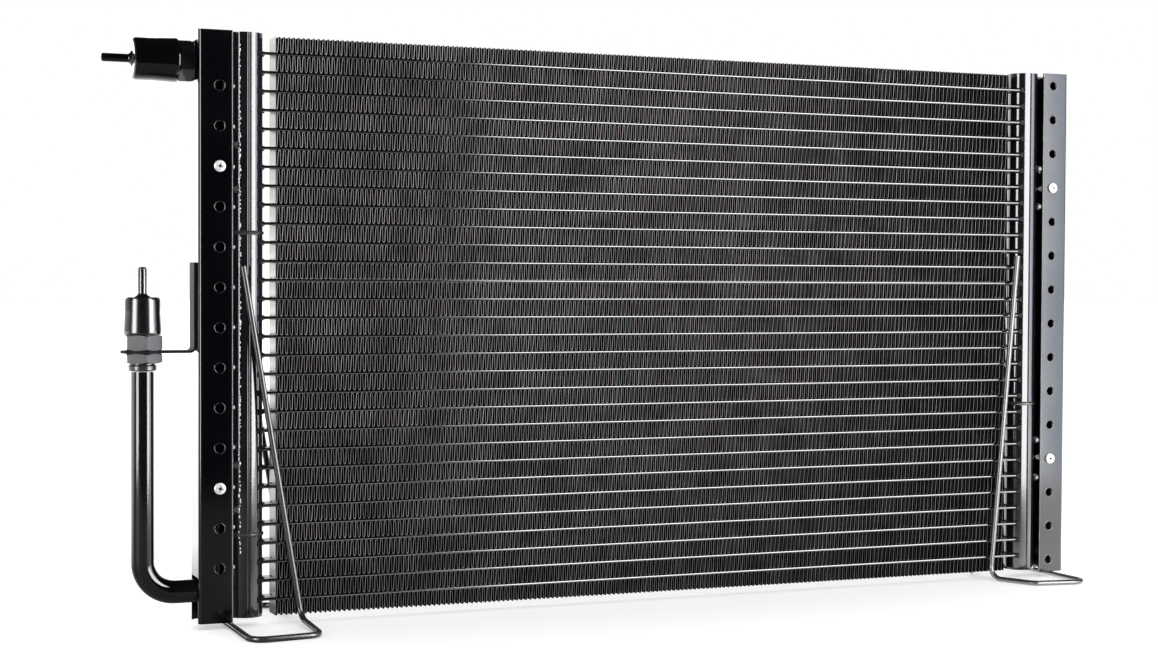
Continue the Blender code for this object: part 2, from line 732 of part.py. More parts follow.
def build_side(side_name, side, hole_rows, material, clip_material, screw_material):
    """A side bracket with the clips and screws that hold it to its header."""
    bracket = build_bracket(side_name, side, hole_rows, material)
    for level_name, row in (("upper", SCREW_ROW), ("lower", -SCREW_ROW)):
        build_clip(side_name, level_name, side, row * HOLE_PITCH, clip_material)
        build_screw(side_name, level_name, side, row * HOLE_PITCH, screw_material)
    return bracket


clear_scene()
frame = bpy.data.objects.new("condenser_frame", None)
bpy.context.collection.objects.link(frame)
frame.location = (-CENTRE_X, 0, -GROUND_Z)

core_black = make_material("core_black", (0.014, 0.013, 0.012), 0.42)
header_black = make_material("header_black", (0.012, 0.012, 0.013), 0.22)
bracket_black = make_material("bracket_black", (0.013, 0.013, 0.015), 0.28)
cap_black = make_material("cap_black", (0.012, 0.011, 0.011), 0.2)
zinc = make_material("zinc", (0.72, 0.72, 0.7), 0.3, 1.0)
stand_black = make_material("stand_black", (0.02, 0.02, 0.022), 0.35)

build_core(core_black)
finishes = {"header": header_black, "cap": cap_black}
left_baffles = [
    ("left_upper_baffle", baffle_level(LEFT_UPPER_BAFFLE_BELOW)),
    ("left_lower_baffle", baffle_level(LEFT_LOWER_BAFFLE_BELOW)),
]
right_baffles = [("right_baffle", baffle_level(RIGHT_BAFFLE_BELOW))]
build_header("left", -1, left_baffles, (INLET_RISE, -PIPE_DROP), finishes)
build_header("right", 1, right_baffles, (), finishes)
left_bracket = build_side("left", -1, LEFT_HOLE_ROWS, bracket_black, header_black, zinc)
open_web(left_bracket)
build_side("right", 1, RIGHT_HOLE_ROWS, bracket_black, header_black, zinc)
build_inlet(finishes)
build_outlet(finishes)
build_outlet_plate(bracket_black)
build_stand("left", -1, LEFT_STAND, stand_black)
build_stand("right", 1, RIGHT_STAND, stand_black)
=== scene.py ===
"""Looks of the finned condenser coil: paint, folded fins, turned fittings, studio and camera."""

import math
import random

import bpy
from mathutils import Matrix, Vector


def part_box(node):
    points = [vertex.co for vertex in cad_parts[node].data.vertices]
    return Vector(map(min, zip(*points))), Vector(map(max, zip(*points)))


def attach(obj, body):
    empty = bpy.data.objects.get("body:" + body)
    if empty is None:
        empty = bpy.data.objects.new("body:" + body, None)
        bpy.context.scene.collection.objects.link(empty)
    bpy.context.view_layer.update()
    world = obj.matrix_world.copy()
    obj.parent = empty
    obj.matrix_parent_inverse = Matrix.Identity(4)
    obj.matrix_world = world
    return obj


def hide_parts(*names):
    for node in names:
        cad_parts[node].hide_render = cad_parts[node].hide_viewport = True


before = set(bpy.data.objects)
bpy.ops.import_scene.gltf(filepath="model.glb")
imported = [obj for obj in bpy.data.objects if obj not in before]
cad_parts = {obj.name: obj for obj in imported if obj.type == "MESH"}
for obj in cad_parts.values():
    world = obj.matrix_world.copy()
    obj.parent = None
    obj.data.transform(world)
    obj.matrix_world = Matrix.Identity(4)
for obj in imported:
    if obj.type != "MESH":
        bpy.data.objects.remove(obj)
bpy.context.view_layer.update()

MM = 0.001

# Sizes of the real pieces that the frame's boxes don't give
TUBE_HEIGHT = 2.0 * MM
TUBE_WIDTH = 18.0 * MM
BRAZE_HEIGHT = 3.8 * MM
BRAZE_SWELL = 1.5 * MM
BRAZE_SIDES = 1.2 * MM
FIN_SETBACK = 18.0 * MM  # from the header's centre to the end of a strip
FIN_HEIGHT = 9.96 * MM
FIN_DEPTH = 16.0 * MM
FIN_FOLD = 3.26 * MM  # two legs
FIN_FOIL = 0.34 * MM
FIN_CREST_WIDTH = 0.6 * MM
FIN_BEND_WIDTH = 0.34 * MM
FIN_BEND_HEIGHT = 0.6 * MM
FIN_LOUVRE_SWING = 0.38 * MM
FIN_WANDER = 0.34 * MM
HEADER_RADIUS = 11.0 * MM
HEADER_WALL = 2.2 * MM
HEADER_LIP = 1.5 * MM
HEADER_RISE = 1.8 * MM  # how far the wall stands above the node's box
SHEET = 1.6 * MM
SHEET_BEND = 2.6 * MM
HOLE_PITCH = 25.4 * MM
HOLE_RADIUS = 3.175 * MM
HOLE_SETBACK = 8.3 * MM
DRILL_DEPTH = 8.0 * MM
RIM_RADIUS = 0.37 * MM
EDGE_RADIUS = 0.36 * MM
EDGE_DEPTH = 0.16 * MM
WINDOW_WIDTH = 18.5 * MM
WINDOW_HEIGHT = 25.0 * MM
WINDOW_DROP = 6.2 * MM
NOTCH_HEIGHT = 29.0 * MM
CLIP_ARM = 4.8 * MM
CLIP_SLOT = 11.2 * MM
WELD_SPREAD = 2.6 * MM
SCREW_HEAD_SHARE = 0.93  # of the node's width
SCREW_THREAD_START = 2.4 * MM
SCREW_THREAD_PITCH = 1.0 * MM
SCREW_TIP = 4.0 * MM
PIPE_RADIUS = 7.35 * MM
PIPE_BEND = 20.0 * MM
HEX_FLATS = 22.2 * MM
HEX_CHAMFER = 1.1 * MM
INLET_HEX_LENGTH = 9.8 * MM
THREAD_RADIUS = 8.0 * MM
COLLAR_RADIUS = 8.9 * MM
COLLAR_HEIGHT = 4.0 * MM
COLLAR_CHAMFER = 0.8 * MM
CAP_GROWTH = 0.8 * MM
CAP_FLARE = 0.7 * MM
CAP_STEM_RADIUS = 2.7 * MM
CAP_STEM_LENGTH = 19.0 * MM
STRAP_SHEET = 1.6 * MM
STRAP_WIDTH = 13.0 * MM
STRAP_BEND = 4.0 * MM
STRAP_EYE_RADIUS = 13.5 * MM
WIRE_RADIUS = 2.0 * MM
WIRE_BEND = 9.0 * MM

# Steps of the foil along one fold and from face to face, and how light its cut edge is painted
# in each column of a fold, partly bare metal and partly a painted highlight, lower on the second
# leg as painted shade; then how much of that light edge fades towards the bottom rows, and the
# painted shade that takes it from every second leg towards the right
FIN_STEPS = 8
FIN_LOUVRES = 3
BARE_AND_HIGHLIGHT_BY_COLUMN = (1.0, 1.0, 0.8, 0.8, 0.7, 0.7, 0.45, 0.45, 1.0)
EDGE_LIGHT_FADE_DOWN = 0.6
SECOND_LEG_SHADE_RIGHT = 0.9

# Hole rows above and below the middle that the screws take, how many hole rows up and down get a
# painted light spot on the left tank, and where the painted glints and those spots lie on the
# left header, in degrees from its front towards the tank
SCREW_ROW = 4
HOLE_LIGHT_ROWS = 6
GLINT_AZIMUTH = 31
HOLE_LIGHT_AZIMUTH = 52

# Sides of the turned pieces
HEADER_SIDES = 72
CAP_SIDES = 64
FITTING_SIDES = 48
SCREW_SIDES = 28
WELD_SIDES = 20


def middle_of(low, high):
    """Middle of a box."""
    return [(a + b) / 2 for a, b in zip(low, high)]


TUBE_COUNT = sum(name.startswith("tube_and_fin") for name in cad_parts)
core_low, core_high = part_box("tube_and_fin_02")
CORE_X = middle_of(core_low, core_high)[0]
LEFT_X = middle_of(*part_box("left_top_end_cap"))[0]
RIGHT_X = 2 * CORE_X - LEFT_X
SIDES = (("left", LEFT_X, -1), ("right", RIGHT_X, 1))
CORNERS = (("left_upper", -1), ("left_lower", -1), ("right_upper", 1), ("right_lower", 1))
plate_low, plate_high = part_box("left_header_plate")
MIDDLE_Z = middle_of(*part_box("right_side_bracket"))[2]
random.seed(41)


# Making and finishing pieces


def leave_edit():
    """Back to object mode."""
    bpy.ops.object.mode_set(mode="OBJECT")


def start():
    """Leave nothing selected before a piece is added."""
    if bpy.context.object and bpy.context.object.mode != "OBJECT":
        leave_edit()
    bpy.ops.object.select_all(action="DESELECT")


def only(piece):
    """Select one piece and make it the active one."""
    start()
    piece.select_set(True)
    bpy.context.view_layer.objects.active = piece


def edit(everything=True):
    """Go into edit mode with all or nothing selected."""
    bpy.ops.object.mode_set(mode="EDIT")
    bpy.ops.mesh.select_all(action="SELECT" if everything else "DESELECT")


def settle(piece):
    """Put the piece's place, turn and scale into its mesh."""
    only(piece)
    bpy.ops.object.transform_apply(location=True, rotation=True, scale=True)


def added():
    """The piece that was just added, settled."""
    piece = bpy.context.object
    settle(piece)
    return piece


def face_out(piece):
    """Merge doubles and point all faces outwards."""
    only(piece)
    edit()
    bpy.ops.mesh.remove_doubles(threshold=0.002 * MM)
    bpy.ops.mesh.normals_make_consistent(inside=False)
    leave_edit()


def apply_modifier(piece, kind, **settings):
    """Add a modifier with its settings and apply it."""
    only(piece)
    modifier = piece.modifiers.new(kind.title(), kind)
    for name, value in settings.items():
        setattr(modifier, name, value)
    bpy.ops.object.modifier_apply(modifier=modifier.name)


def soften(piece, width, segments=2, angle=40):
    """Round the sharp edges a little."""
    apply_modifier(
        piece,
        "BEVEL",
        width=width,
        segments=segments,
        limit_method="ANGLE",
        angle_limit=math.radians(angle),
    )


def combine(piece, operation, other):
    """Change a piece by another one's solid and delete the other."""
    apply_modifier(piece, "BOOLEAN", operation=operation, solver="EXACT", object=other)
    bpy.data.objects.remove(other, do_unlink=True)


def cut(piece, tool):
    """Cut a tool's shape out of a piece."""
    combine(piece, "DIFFERENCE", tool)


def repeat(piece, count, step, **settings):
    """Repeat a piece by a constant step."""
    apply_modifier(
        piece,
        "ARRAY",
        count=count,
        use_relative_offset=False,
        use_constant_offset=True,
        constant_offset_displace=step,
        **settings,
    )


def flip(piece):
    """Turn all faces of a piece over."""
    only(piece)
    edit()
    bpy.ops.mesh.flip_normals()
    leave_edit()


def join(pieces):
    """Make the first of the pieces hold them all."""
    for piece in pieces:
        settle(piece)
    start()
    for piece in pieces:
        piece.select_set(True)
    bpy.context.view_layer.objects.active = pieces[0]
    bpy.ops.object.join()


def bead(spot, radius, tall):
    """A small drop, for weld and for the painted glints on the left tank."""
    start()
    bpy.ops.mesh.primitive_ico_sphere_add(subdivisions=2, radius=radius, location=spot)
    drop = bpy.context.object
    drop.scale = (1, 0.8, tall)
    return drop


def finish_piece(piece, name, material, nodes=(), smooth=32, flat_sides=False):
    """Name, shade, paint and mount a finished piece."""
    piece.name = name
    piece.data.name = name
    only(piece)
    bpy.ops.object.shade_smooth_by_angle(angle=math.radians(smooth))
    if flat_sides:
        apply_modifier(piece, "WEIGHTED_NORMAL", keep_sharp=True, weight=100)
    piece.data.materials.clear()
    piece.data.materials.append(material)
    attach(piece, "root")
    if nodes:
        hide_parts(*nodes)


def pick_edges(piece, wanted):
    """In edit mode, select the edges whose two ends pass the test."""
    bpy.ops.mesh.select_mode(type="EDGE")
    bpy.ops.mesh.select_all(action="DESELECT")
    leave_edit()
    points = piece.data.vertices
    for line in piece.data.edges:
        line.select = wanted(points[line.vertices[0]].co, points[line.vertices[1]].co)
    bpy.ops.object.mode_set(mode="EDIT")


def round_off(piece, wanted, offset, segments):
    """Round the edges that pass the test, and leave edit mode."""
    pick_edges(piece, wanted)
    bpy.ops.mesh.bevel(offset=offset, segments=segments, affect="EDGES")
    leave_edit()


def block(centre, size):
    """A box of that size, used as a saw or as a start."""
    start()
    bpy.ops.mesh.primitive_cube_add(size=1, location=centre, scale=size)
    return added()


def stand_at(piece, at, axis):
    """Carry a piece drawn along Z to its place and turn it to its axis."""
    turn = Vector((0, 0, 1)).rotation_difference(Vector(axis)).to_matrix().to_4x4()
    piece.matrix_world = Matrix.Translation(at) @ turn
    settle(piece)
    return piece


def turned(profile, sides, at=(0, 0, 0), axis=(0, 0, 1)):
    """Draw a round solid up from its foot by extruding and scaling ring after ring."""
    start()
    radius, height = profile[0]
    bpy.ops.mesh.primitive_circle_add(
        vertices=sides, radius=radius, fill_type="NGON", location=(0, 0, height)
    )
    piece = added()
    edit()
    for next_radius, next_height in profile[1:]:
        rise = (0, 0, next_height - height)
        share = next_radius / radius
        bpy.ops.mesh.extrude_region_move(TRANSFORM_OT_translate={"value": rise})
        bpy.ops.transform.resize(value=(share, share, 1), center_override=(0, 0, next_height))
        radius, height = next_radius, next_height
    bpy.ops.mesh.normals_make_consistent(inside=False)
    leave_edit()
    return stand_at(piece, at, axis)


def hex_bar(low, high, turn, at, axis=(0, 0, 1)):
    """A hexagon with its corners chamfered by a turned cone at each end."""
    corner = HEX_FLATS / math.sqrt(3)
    start()
    bpy.ops.mesh.primitive_cylinder_add(
        vertices=6,
        radius=corner,
        depth=high - low,
        location=(0, 0, (low + high) / 2),
        rotation=(0, 0, turn),
    )
    piece = added()
    edge = HEX_FLATS / 2 + 0.1 * MM
    clear = corner + HEX_CHAMFER / 3
    profile = [(edge, low), (clear, low + HEX_CHAMFER), (clear, high - HEX_CHAMFER), (edge, high)]
    combine(piece, "INTERSECT", turned(profile, FITTING_SIDES))
    return stand_at(piece, at, axis)


def rounded_path(points, bend, steps):
    """Replace each inner corner of a path by an arc of the bend radius."""
    path = [points[0]]
    for before, corner, after in zip(points, points[1:], points[2:]):
        inward = (before - corner).normalized()
        outward = (after - corner).normalized()
        half = inward.angle(outward) / 2
        setback = bend / math.tan(half)
        centre = corner + (inward + outward).normalized() * (bend / math.sin(half))
        first = corner + inward * setback - centre
        last = corner + outward * setback - centre
        for step in range(steps + 1):
            turn = Matrix.Rotation(first.angle(last) * step / steps, 3, first.cross(last))
            path.append(centre + turn @ first)
    path.append(points[-1])
    return path


def rod(path, radius, resolution):
    """A round bar swept along a path, as a mesh."""
    start()
    curve = bpy.data.curves.new("bar", "CURVE")
    curve.dimensions = "3D"
    curve.bevel_depth = radius
    curve.bevel_resolution = resolution
    curve.use_fill_caps = True
    line = curve.splines.new("POLY")
    line.points.add(len(path) - 1)
    for point, spot in zip(line.points, path):
        point.co = (*spot, 1)
    piece = bpy.data.objects.new("bar", curve)
    bpy.context.collection.objects.link(piece)
    only(piece)
    bpy.ops.object.convert(target="MESH")
    piece = bpy.context.object
    face_out(piece)
    return piece


# Paint and metal


def node_group(name, inputs, outputs):
    """An empty shader group with its sockets."""
    group = bpy.data.node_groups.new(name, "ShaderNodeTree")
    for in_out, sockets in (("INPUT", inputs), ("OUTPUT", outputs)):
        for label, kind in sockets:
            group.interface.new_socket(label, in_out=in_out, socket_type=kind)
    return group, group.nodes.new("NodeGroupInput"), group.nodes.new("NodeGroupOutput")


def math_node(tree, operation, first, second, clamp=False):
    """A Math node whose inputs are numbers or sockets."""
    node = tree.nodes.new("ShaderNodeMath")
    node.operation = operation
    node.use_clamp = clamp
    for socket, value in zip(node.inputs, (first, second)):
        if isinstance(value, (int, float)):
            socket.default_value = value
        else:
            tree.links.new(value, socket)
    return node.outputs[0]


def product(tree, first, second, clamp=False):
    """The product of two values."""
    return math_node(tree, "MULTIPLY", first, second, clamp)


def total(tree, first, second, clamp=False):
    """The sum of two values."""
    return math_node(tree, "ADD", first, second, clamp)


def noise(tree, vector, scale, detail=4):
    """A noise texture on a vector, giving its value."""
    node = tree.nodes.new("ShaderNodeTexNoise")
    node.inputs["Detail"].default_value = detail
    node.inputs["Roughness"].default_value = 0.55
    node.inputs["Scale"].default_value = scale
    tree.links.new(vector, node.inputs["Vector"])
    return node.outputs["Fac"]


def ramp(tree, value, low, high):
    """Stretch a value from low..high to 0..1 and clamp it."""
    node = tree.nodes.new("ShaderNodeMapRange")
    node.clamp = True
    tree.links.new(value, node.inputs["Value"])
    node.inputs["From Min"].default_value = low
    node.inputs["From Max"].default_value = high
    return node.outputs["Result"]


def mix_colour(tree, factor, first, second):
    """Mix two colours by a factor."""
    node = tree.nodes.new("ShaderNodeMix")
    node.data_type = "RGBA"
    tree.links.new(factor, node.inputs["Factor"])
    for socket, value in zip((node.inputs[6], node.inputs[7]), (first, second)):
        if isinstance(value, tuple):
            socket.default_value = value
        else:
            tree.links.new(value, socket)
    return node.outputs[2]


def coordinates(tree, kind="Object"):
    """A coordinate's vector and its X, Y and Z."""
    place = tree.nodes.new("ShaderNodeTexCoord").outputs[kind]
    axes = tree.nodes.new("ShaderNodeSeparateXYZ")
    tree.links.new(place, axes.inputs[0])
    return place, *axes.outputs


CLOUD_SCALE = 22.0
FLECK_SCALE = 620.0
GRAIN_SCALE = 900.0
ROUGHNESS_SPREAD = 0.12


def make_worn_paint():
    """Uneven sprayed paint: cloudy tone, dust and rubbed edges, and its fine bumps."""
    group, given, out = node_group(
        "worn_paint",
        [
            ("Paint", "NodeSocketColor"),
            ("Dust", "NodeSocketColor"),
            ("Dust Amount", "NodeSocketFloat"),
            ("Edge Amount", "NodeSocketFloat"),
            ("Roughness", "NodeSocketFloat"),
        ],
        [
            ("Color", "NodeSocketColor"),
            ("Roughness", "NodeSocketFloat"),
            ("Height", "NodeSocketFloat"),
        ],
    )
    place = group.nodes.new("ShaderNodeTexCoord").outputs["Object"]
    cloud = noise(group, place, CLOUD_SCALE)
    fleck = noise(group, place, FLECK_SCALE, detail=2)
    grain = noise(group, place, GRAIN_SCALE, detail=3)
    spots = total(group, ramp(group, cloud, 0.45, 0.7), ramp(group, fleck, 0.62, 0.72))
    dust = product(group, spots, given.outputs["Dust Amount"], True)
    dusty = mix_colour(group, dust, given.outputs["Paint"], given.outputs["Dust"])
    corner = group.nodes.new("ShaderNodeNewGeometry").outputs["Pointiness"]
    edge = product(group, ramp(group, corner, 0.53, 0.6), cloud)
    edge = product(group, edge, given.outputs["Edge Amount"], True)
    colour = mix_colour(group, edge, dusty, given.outputs["Dust"])
    around_mean = math_node(group, "SUBTRACT", cloud, 0.5)
    spread = product(group, around_mean, ROUGHNESS_SPREAD)
    rough = total(group, given.outputs["Roughness"], spread, True)
    group.links.new(colour, out.inputs["Color"])
    group.links.new(rough, out.inputs["Roughness"])
    group.links.new(grain, out.inputs["Height"])
    return group


worn_paint = make_worn_paint()


def paint(name, colour, dust, dusty, rough, worn=0.3, gloss=0.5, bump=0.02, metallic=0.0):
    """A material of worn paint with its own values; bump is its height in millimetres."""
    material = bpy.data.materials.new(name)
    material.use_nodes = True
    tree = material.node_tree
    shader = tree.nodes["Principled BSDF"]
    shader.inputs["Metallic"].default_value = metallic
    shader.inputs["Specular IOR Level"].default_value = gloss
    group = tree.nodes.new("ShaderNodeGroup")
    group.node_tree = worn_paint
    values = ((*colour, 1), (*dust, 1), dusty, worn, rough)
    for socket, value in zip(group.inputs, values):
        socket.default_value = value
    relief = tree.nodes.new("ShaderNodeBump")
    relief.inputs["Strength"].default_value = 0.5
    relief.inputs["Distance"].default_value = bump * MM
    tree.links.new(group.outputs["Color"], shader.inputs["Base Color"])
    tree.links.new(group.outputs["Roughness"], shader.inputs["Roughness"])
    tree.links.new(group.outputs["Height"], relief.inputs["Height"])
    tree.links.new(relief.outputs["Normal"], shader.inputs["Normal"])
    return material


def lighten_front_edges(material, colour):
    """Light colour on the foil's cut edges at both faces of the core, partly bare metal and partly
    a painted highlight, more on some legs.
    """
    tree = material.node_tree
    shader = tree.nodes["Principled BSDF"]
    painted = shader.inputs["Base Color"].links[0].from_socket
    place, _, y, _ = coordinates(tree)
    depth = math_node(tree, "ABSOLUTE", y, 0.0)
    edge = ramp(tree, depth, FIN_DEPTH / 2 - 0.14 * MM, FIN_DEPTH / 2 - 0.02 * MM)
    patchy = ramp(tree, noise(tree, place, 55.0), 0.3, 0.65)
    share = total(tree, product(tree, patchy, 0.5), 0.5)
    bare_and_highlight = tree.nodes.new("ShaderNodeAttribute")
    bare_and_highlight.attribute_name = "bare_and_highlight"
    share = product(tree, share, bare_and_highlight.outputs["Fac"])
    mask = product(tree, edge, share, True)
    tree.links.new(mix_colour(tree, mask, painted, (*colour, 1)), shader.inputs["Base Color"])


header_paint = paint(
    "header_paint",
    colour=(0.0025, 0.0026, 0.004), dust=(0.05, 0.05, 0.058),
    dusty=0.02, rough=0.1, gloss=0.7, bump=0.03,
)
bracket_paint = paint(
    "bracket_paint",
    colour=(0.001, 0.0011, 0.0024), dust=(0.03, 0.03, 0.034),
    dusty=0.012, rough=0.12, bump=0.015,
)
tube_paint = paint(
    "tube_paint",
    colour=(0.002, 0.002, 0.002), dust=(0.04, 0.038, 0.036),
    dusty=0.03, rough=0.1, worn=0.2, gloss=1.0, bump=0.03,
)
fin_paint = paint(
    "fin_paint",
    colour=(0.0025, 0.0025, 0.0025), dust=(0.03, 0.03, 0.03),
    dusty=0.02, rough=0.65, gloss=0.0,
)
# painted highlight: the fins' cut edges take a near-white colour for their glare, partly as bare
# metal
lighten_front_edges(fin_paint, (0.86, 0.86, 0.86))
# light grey for the painted highlight along the flanges' inner edges
edge_highlight_paint = paint(
    "edge_highlight_paint",
    colour=(0.2, 0.2, 0.196), dust=(0.5, 0.49, 0.47),
    dusty=0.2, rough=0.18, gloss=0.3, bump=0.05,
)
fitting_paint = paint(
    "fitting_paint",
    colour=(0.03, 0.03, 0.031), dust=(0.09, 0.09, 0.09),
    dusty=0.06, rough=0.26, gloss=0.7, bump=0.03,
)
pipe_paint = paint(
    "pipe_paint",
    colour=(0.002, 0.002, 0.003), dust=(0.04, 0.04, 0.045),
    dusty=0.02, rough=0.1, gloss=0.6, bump=0.03,
)
fin_plate_paint = paint(
    "fin_plate_paint",
    colour=(0.1, 0.1, 0.098), dust=(0.4, 0.39, 0.37),
    dusty=0.2, rough=0.3, gloss=0.2, bump=0.05,
)
matt_black = paint(
    "matt_black",
    colour=(0.0025, 0.0025, 0.0025), dust=(0.03, 0.03, 0.03),
    dusty=0.02, rough=0.6, gloss=0.1,
)
satin_plastic = paint(
    "satin_plastic",
    colour=(0.004, 0.004, 0.004), dust=(0.03, 0.03, 0.03),
    dusty=0.02, rough=0.2, worn=0.2, gloss=1.0,
)
# near white, for the painted glints and painted light spots on the left tank
glint_paint = paint(
    "glint_paint",
    colour=(0.9, 0.9, 0.9), dust=(0.4, 0.4, 0.4),
    dusty=0.2, rough=0.3, gloss=1.0, bump=0.05,
)
cap_plastic = paint(
    "cap_plastic",
    colour=(0.002, 0.0018, 0.0018), dust=(0.03, 0.03, 0.03),
    dusty=0.015, rough=0.1, worn=0.2,
)
wire_paint = paint(
    "wire_paint",
    colour=(0.02, 0.02, 0.023), dust=(0.1, 0.1, 0.105),
    dusty=0.06, rough=0.27, gloss=0.9, bump=0.03,
)
zinc_plate = paint(
    "zinc_plate",
    colour=(0.88, 0.88, 0.86), dust=(0.5, 0.5, 0.48),
    dusty=0.1, rough=0.34, worn=0.1, gloss=1.0, metallic=0.3,
)


# Folded fins and flat tubes


def fold_row(length):
    """One strip of foil folded up and down, its legs stepped in and out as louvres."""
    folds = round(length / FIN_FOLD)
    fold = length / folds
    start()
    bpy.ops.mesh.primitive_grid_add(x_subdivisions=FIN_STEPS, y_subdivisions=FIN_LOUVRES, size=1)
    piece = added()
    half_along = [0.0, FIN_CREST_WIDTH, FIN_CREST_WIDTH + FIN_BEND_WIDTH, fold / 2 - FIN_BEND_WIDTH]
    along = half_along + [fold / 2 + x for x in half_along] + [fold]
    reach = (FIN_HEIGHT - FIN_FOIL) / 2
    knee = reach - FIN_BEND_HEIGHT
    rise = [-reach, -reach, -knee, knee, reach, reach, knee, -knee, -reach]
    bare_and_highlight = piece.data.attributes.new("bare_and_highlight", "FLOAT", "POINT")
    for point in piece.data.vertices:
        column = round((point.co.x + 0.5) * FIN_STEPS)
        band = round((point.co.y + 0.5) * FIN_LOUVRES)
        # each column's light edge: bare metal and a painted highlight, lower on the second leg as
        # painted shade
        bare_and_highlight.data[point.index].value = BARE_AND_HIGHLIGHT_BY_COLUMN[column]
        inside = 0 < band < FIN_LOUVRES
        swing = FIN_LOUVRE_SWING * (1 if band % 2 else -1) if inside else 0.0
        point.co = (along[column] + swing, point.co.y * FIN_DEPTH, rise[column])
    repeat(piece, folds, (fold, 0, 0), use_merge_vertices=True, merge_threshold=0.01 * MM)
    apply_modifier(piece, "SOLIDIFY", thickness=FIN_FOIL, offset=0.0)
    return piece


def flat_tube(length):
    """A flat tube with round noses."""
    start()
    bpy.ops.mesh.primitive_cube_add(size=1, scale=(length, TUBE_WIDTH, TUBE_HEIGHT))
    piece = added()
    edit()
    half = length / 2

    def along(a, b):
        return abs(a.x - b.x) > half and a.y == b.y and a.z == b.z

    round_off(piece, along, TUBE_HEIGHT * 0.49, 4)
    return piece


def strip_level(index, side):
    """Height of the strip above or below a tube."""
    return tube_level(index) + side * TUBE_PITCH / 2


def tube_level(index):
    """Middle height of a tube, counted from the top."""
    return TOP_TUBE_Z - index * TUBE_PITCH


second_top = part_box("tube_and_fin_02")[1][2]
third_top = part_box("tube_and_fin_03")[1][2]
TUBE_PITCH = second_top - third_top
TOP_TUBE_Z = second_top + TUBE_PITCH - TUBE_HEIGHT / 2


def copy_of(pattern):
    """A copy with a mesh of its own."""
    piece = pattern.copy()
    piece.data = pattern.data.copy()
    bpy.context.collection.objects.link(piece)
    return piece


def vary_strip(strip, length, depth_share):
    """Give a strip its own wavering legs, and less light edge the lower it lies.

    wave and ripple are in radians per metre; kept is the share of the foil's edge left light, as
    bare metal and painted highlight, less on every second leg towards the right as painted shade.
    """
    leg_pitch = length / round(length / FIN_FOLD) / 2
    wave = random.uniform(9, 17)
    turn = random.uniform(0, math.tau)
    ripple = random.uniform(60, 110)
    crisp = random.uniform(0.55, 1.0)
    shown = random.uniform(0.55, 1.05)
    sunk = 1 - EDGE_LIGHT_FADE_DOWN * depth_share**2
    bare_and_highlight = strip.data.attributes["bare_and_highlight"].data
    legs = [random.random() for count in range(round(length / leg_pitch) + 2)]
    for point in strip.data.vertices:
        far = max(0.0, 2 * point.co.x / length - 1)
        leg = int(point.co.x / leg_pitch)
        near_share = (0.72 + 0.28 * legs[leg]) * (1 - far)
        far_share = shown * (0.5 + 0.5 * legs[leg]) * far
        kept = sunk * (near_share + far_share)
        # painted shade: every second leg loses its light edge towards the right, as if lit from
        # above
        if leg % 2:
            kept *= 1 - SECOND_LEG_SHADE_RIGHT * far
        bare_and_highlight[point.index].value = kept * (0.5 + (bare_and_highlight[point.index].value - 0.5) * crisp)
        wander = math.sin(point.co.x * ripple + turn) * 0.6 + math.sin(point.co.x * wave + turn)
        lean = point.co.z / FIN_HEIGHT * math.sin(point.co.x * ripple * 3.1 + turn)
        point.co.x += FIN_WANDER * (wander * 0.6 + lean)


def build_core():
    """Tubes and the fin strips between them, each strip a little different."""
    fin_length = RIGHT_X - LEFT_X - 2 * FIN_SETBACK
    strip_pattern = fold_row(fin_length)
    tube_pattern = flat_tube(core_high[0] - core_low[0])
    for index in range(TUBE_COUNT):
        node = f"tube_and_fin_{index + 1:02d}"
        tube = copy_of(tube_pattern)
        tube.location = (CORE_X, 0, tube_level(index))
        settle(tube)
        finish_piece(tube, f"tube_{index + 1:02d}", tube_paint, (node,))
        for side in (1, -1) if index == 0 else (-1,):
            number = index + 2 if side < 0 else 1
            strip = copy_of(strip_pattern)
            vary_strip(strip, fin_length, index / TUBE_COUNT)
            strip.location = (LEFT_X + FIN_SETBACK, 0, strip_level(index, side))
            settle(strip)
            finish_piece(strip, f"fin_{number:02d}", fin_paint, (node,), smooth=25)
    bpy.data.objects.remove(strip_pattern, do_unlink=True)
    bpy.data.objects.remove(tube_pattern, do_unlink=True)


def build_fin_ends():
    """The last leg of every strip at the left, a plain upright sheet in a lighter grey than the
    fins.
    """
    place = (LEFT_X + FIN_SETBACK, 0, strip_level(0, 1))
    sheet = block(place, (FIN_FOIL, FIN_DEPTH, FIN_HEIGHT))
    edit(False)
    round_off(sheet, lambda a, b: a.z == b.z and a.y != b.y, FIN_FOIL * 0.4, 2)
    repeat(sheet, TUBE_COUNT + 1, (0, 0, -TUBE_PITCH))
    finish_piece(sheet, "left_fin_ends", fin_plate_paint)


# Headers


def half_shell(header_x, outward):
    """Half of the round header: a tube bisected on the seam, with rolled seam lips."""
    low, high = plate_low[2], plate_high[2] + HEADER_RISE
    start()
    bpy.ops.mesh.primitive_cylinder_add(
        vertices=HEADER_SIDES,
        radius=HEADER_RADIUS,
        depth=high - low,
        end_fill_type="NOTHING",
        location=(header_x, 0, (low + high) / 2),
    )
    piece = added()
    edit()
    bpy.ops.mesh.bisect(
        plane_co=(header_x + outward * 0.1 * MM, 0, 0), plane_no=(-outward, 0, 0), clear_outer=True
    )
    leave_edit()
    apply_modifier(piece, "SOLIDIFY", thickness=HEADER_WALL, offset=-1.0)
    edit(False)

    def by_seam(point):
        return abs(point.x - header_x) < 0.3 * MM and abs(point.y) > HEADER_RADIUS - 0.4 * MM

    round_off(piece, lambda a, b: by_seam(a) and by_seam(b) and a.z != b.z, HEADER_LIP, 4)
    return piece


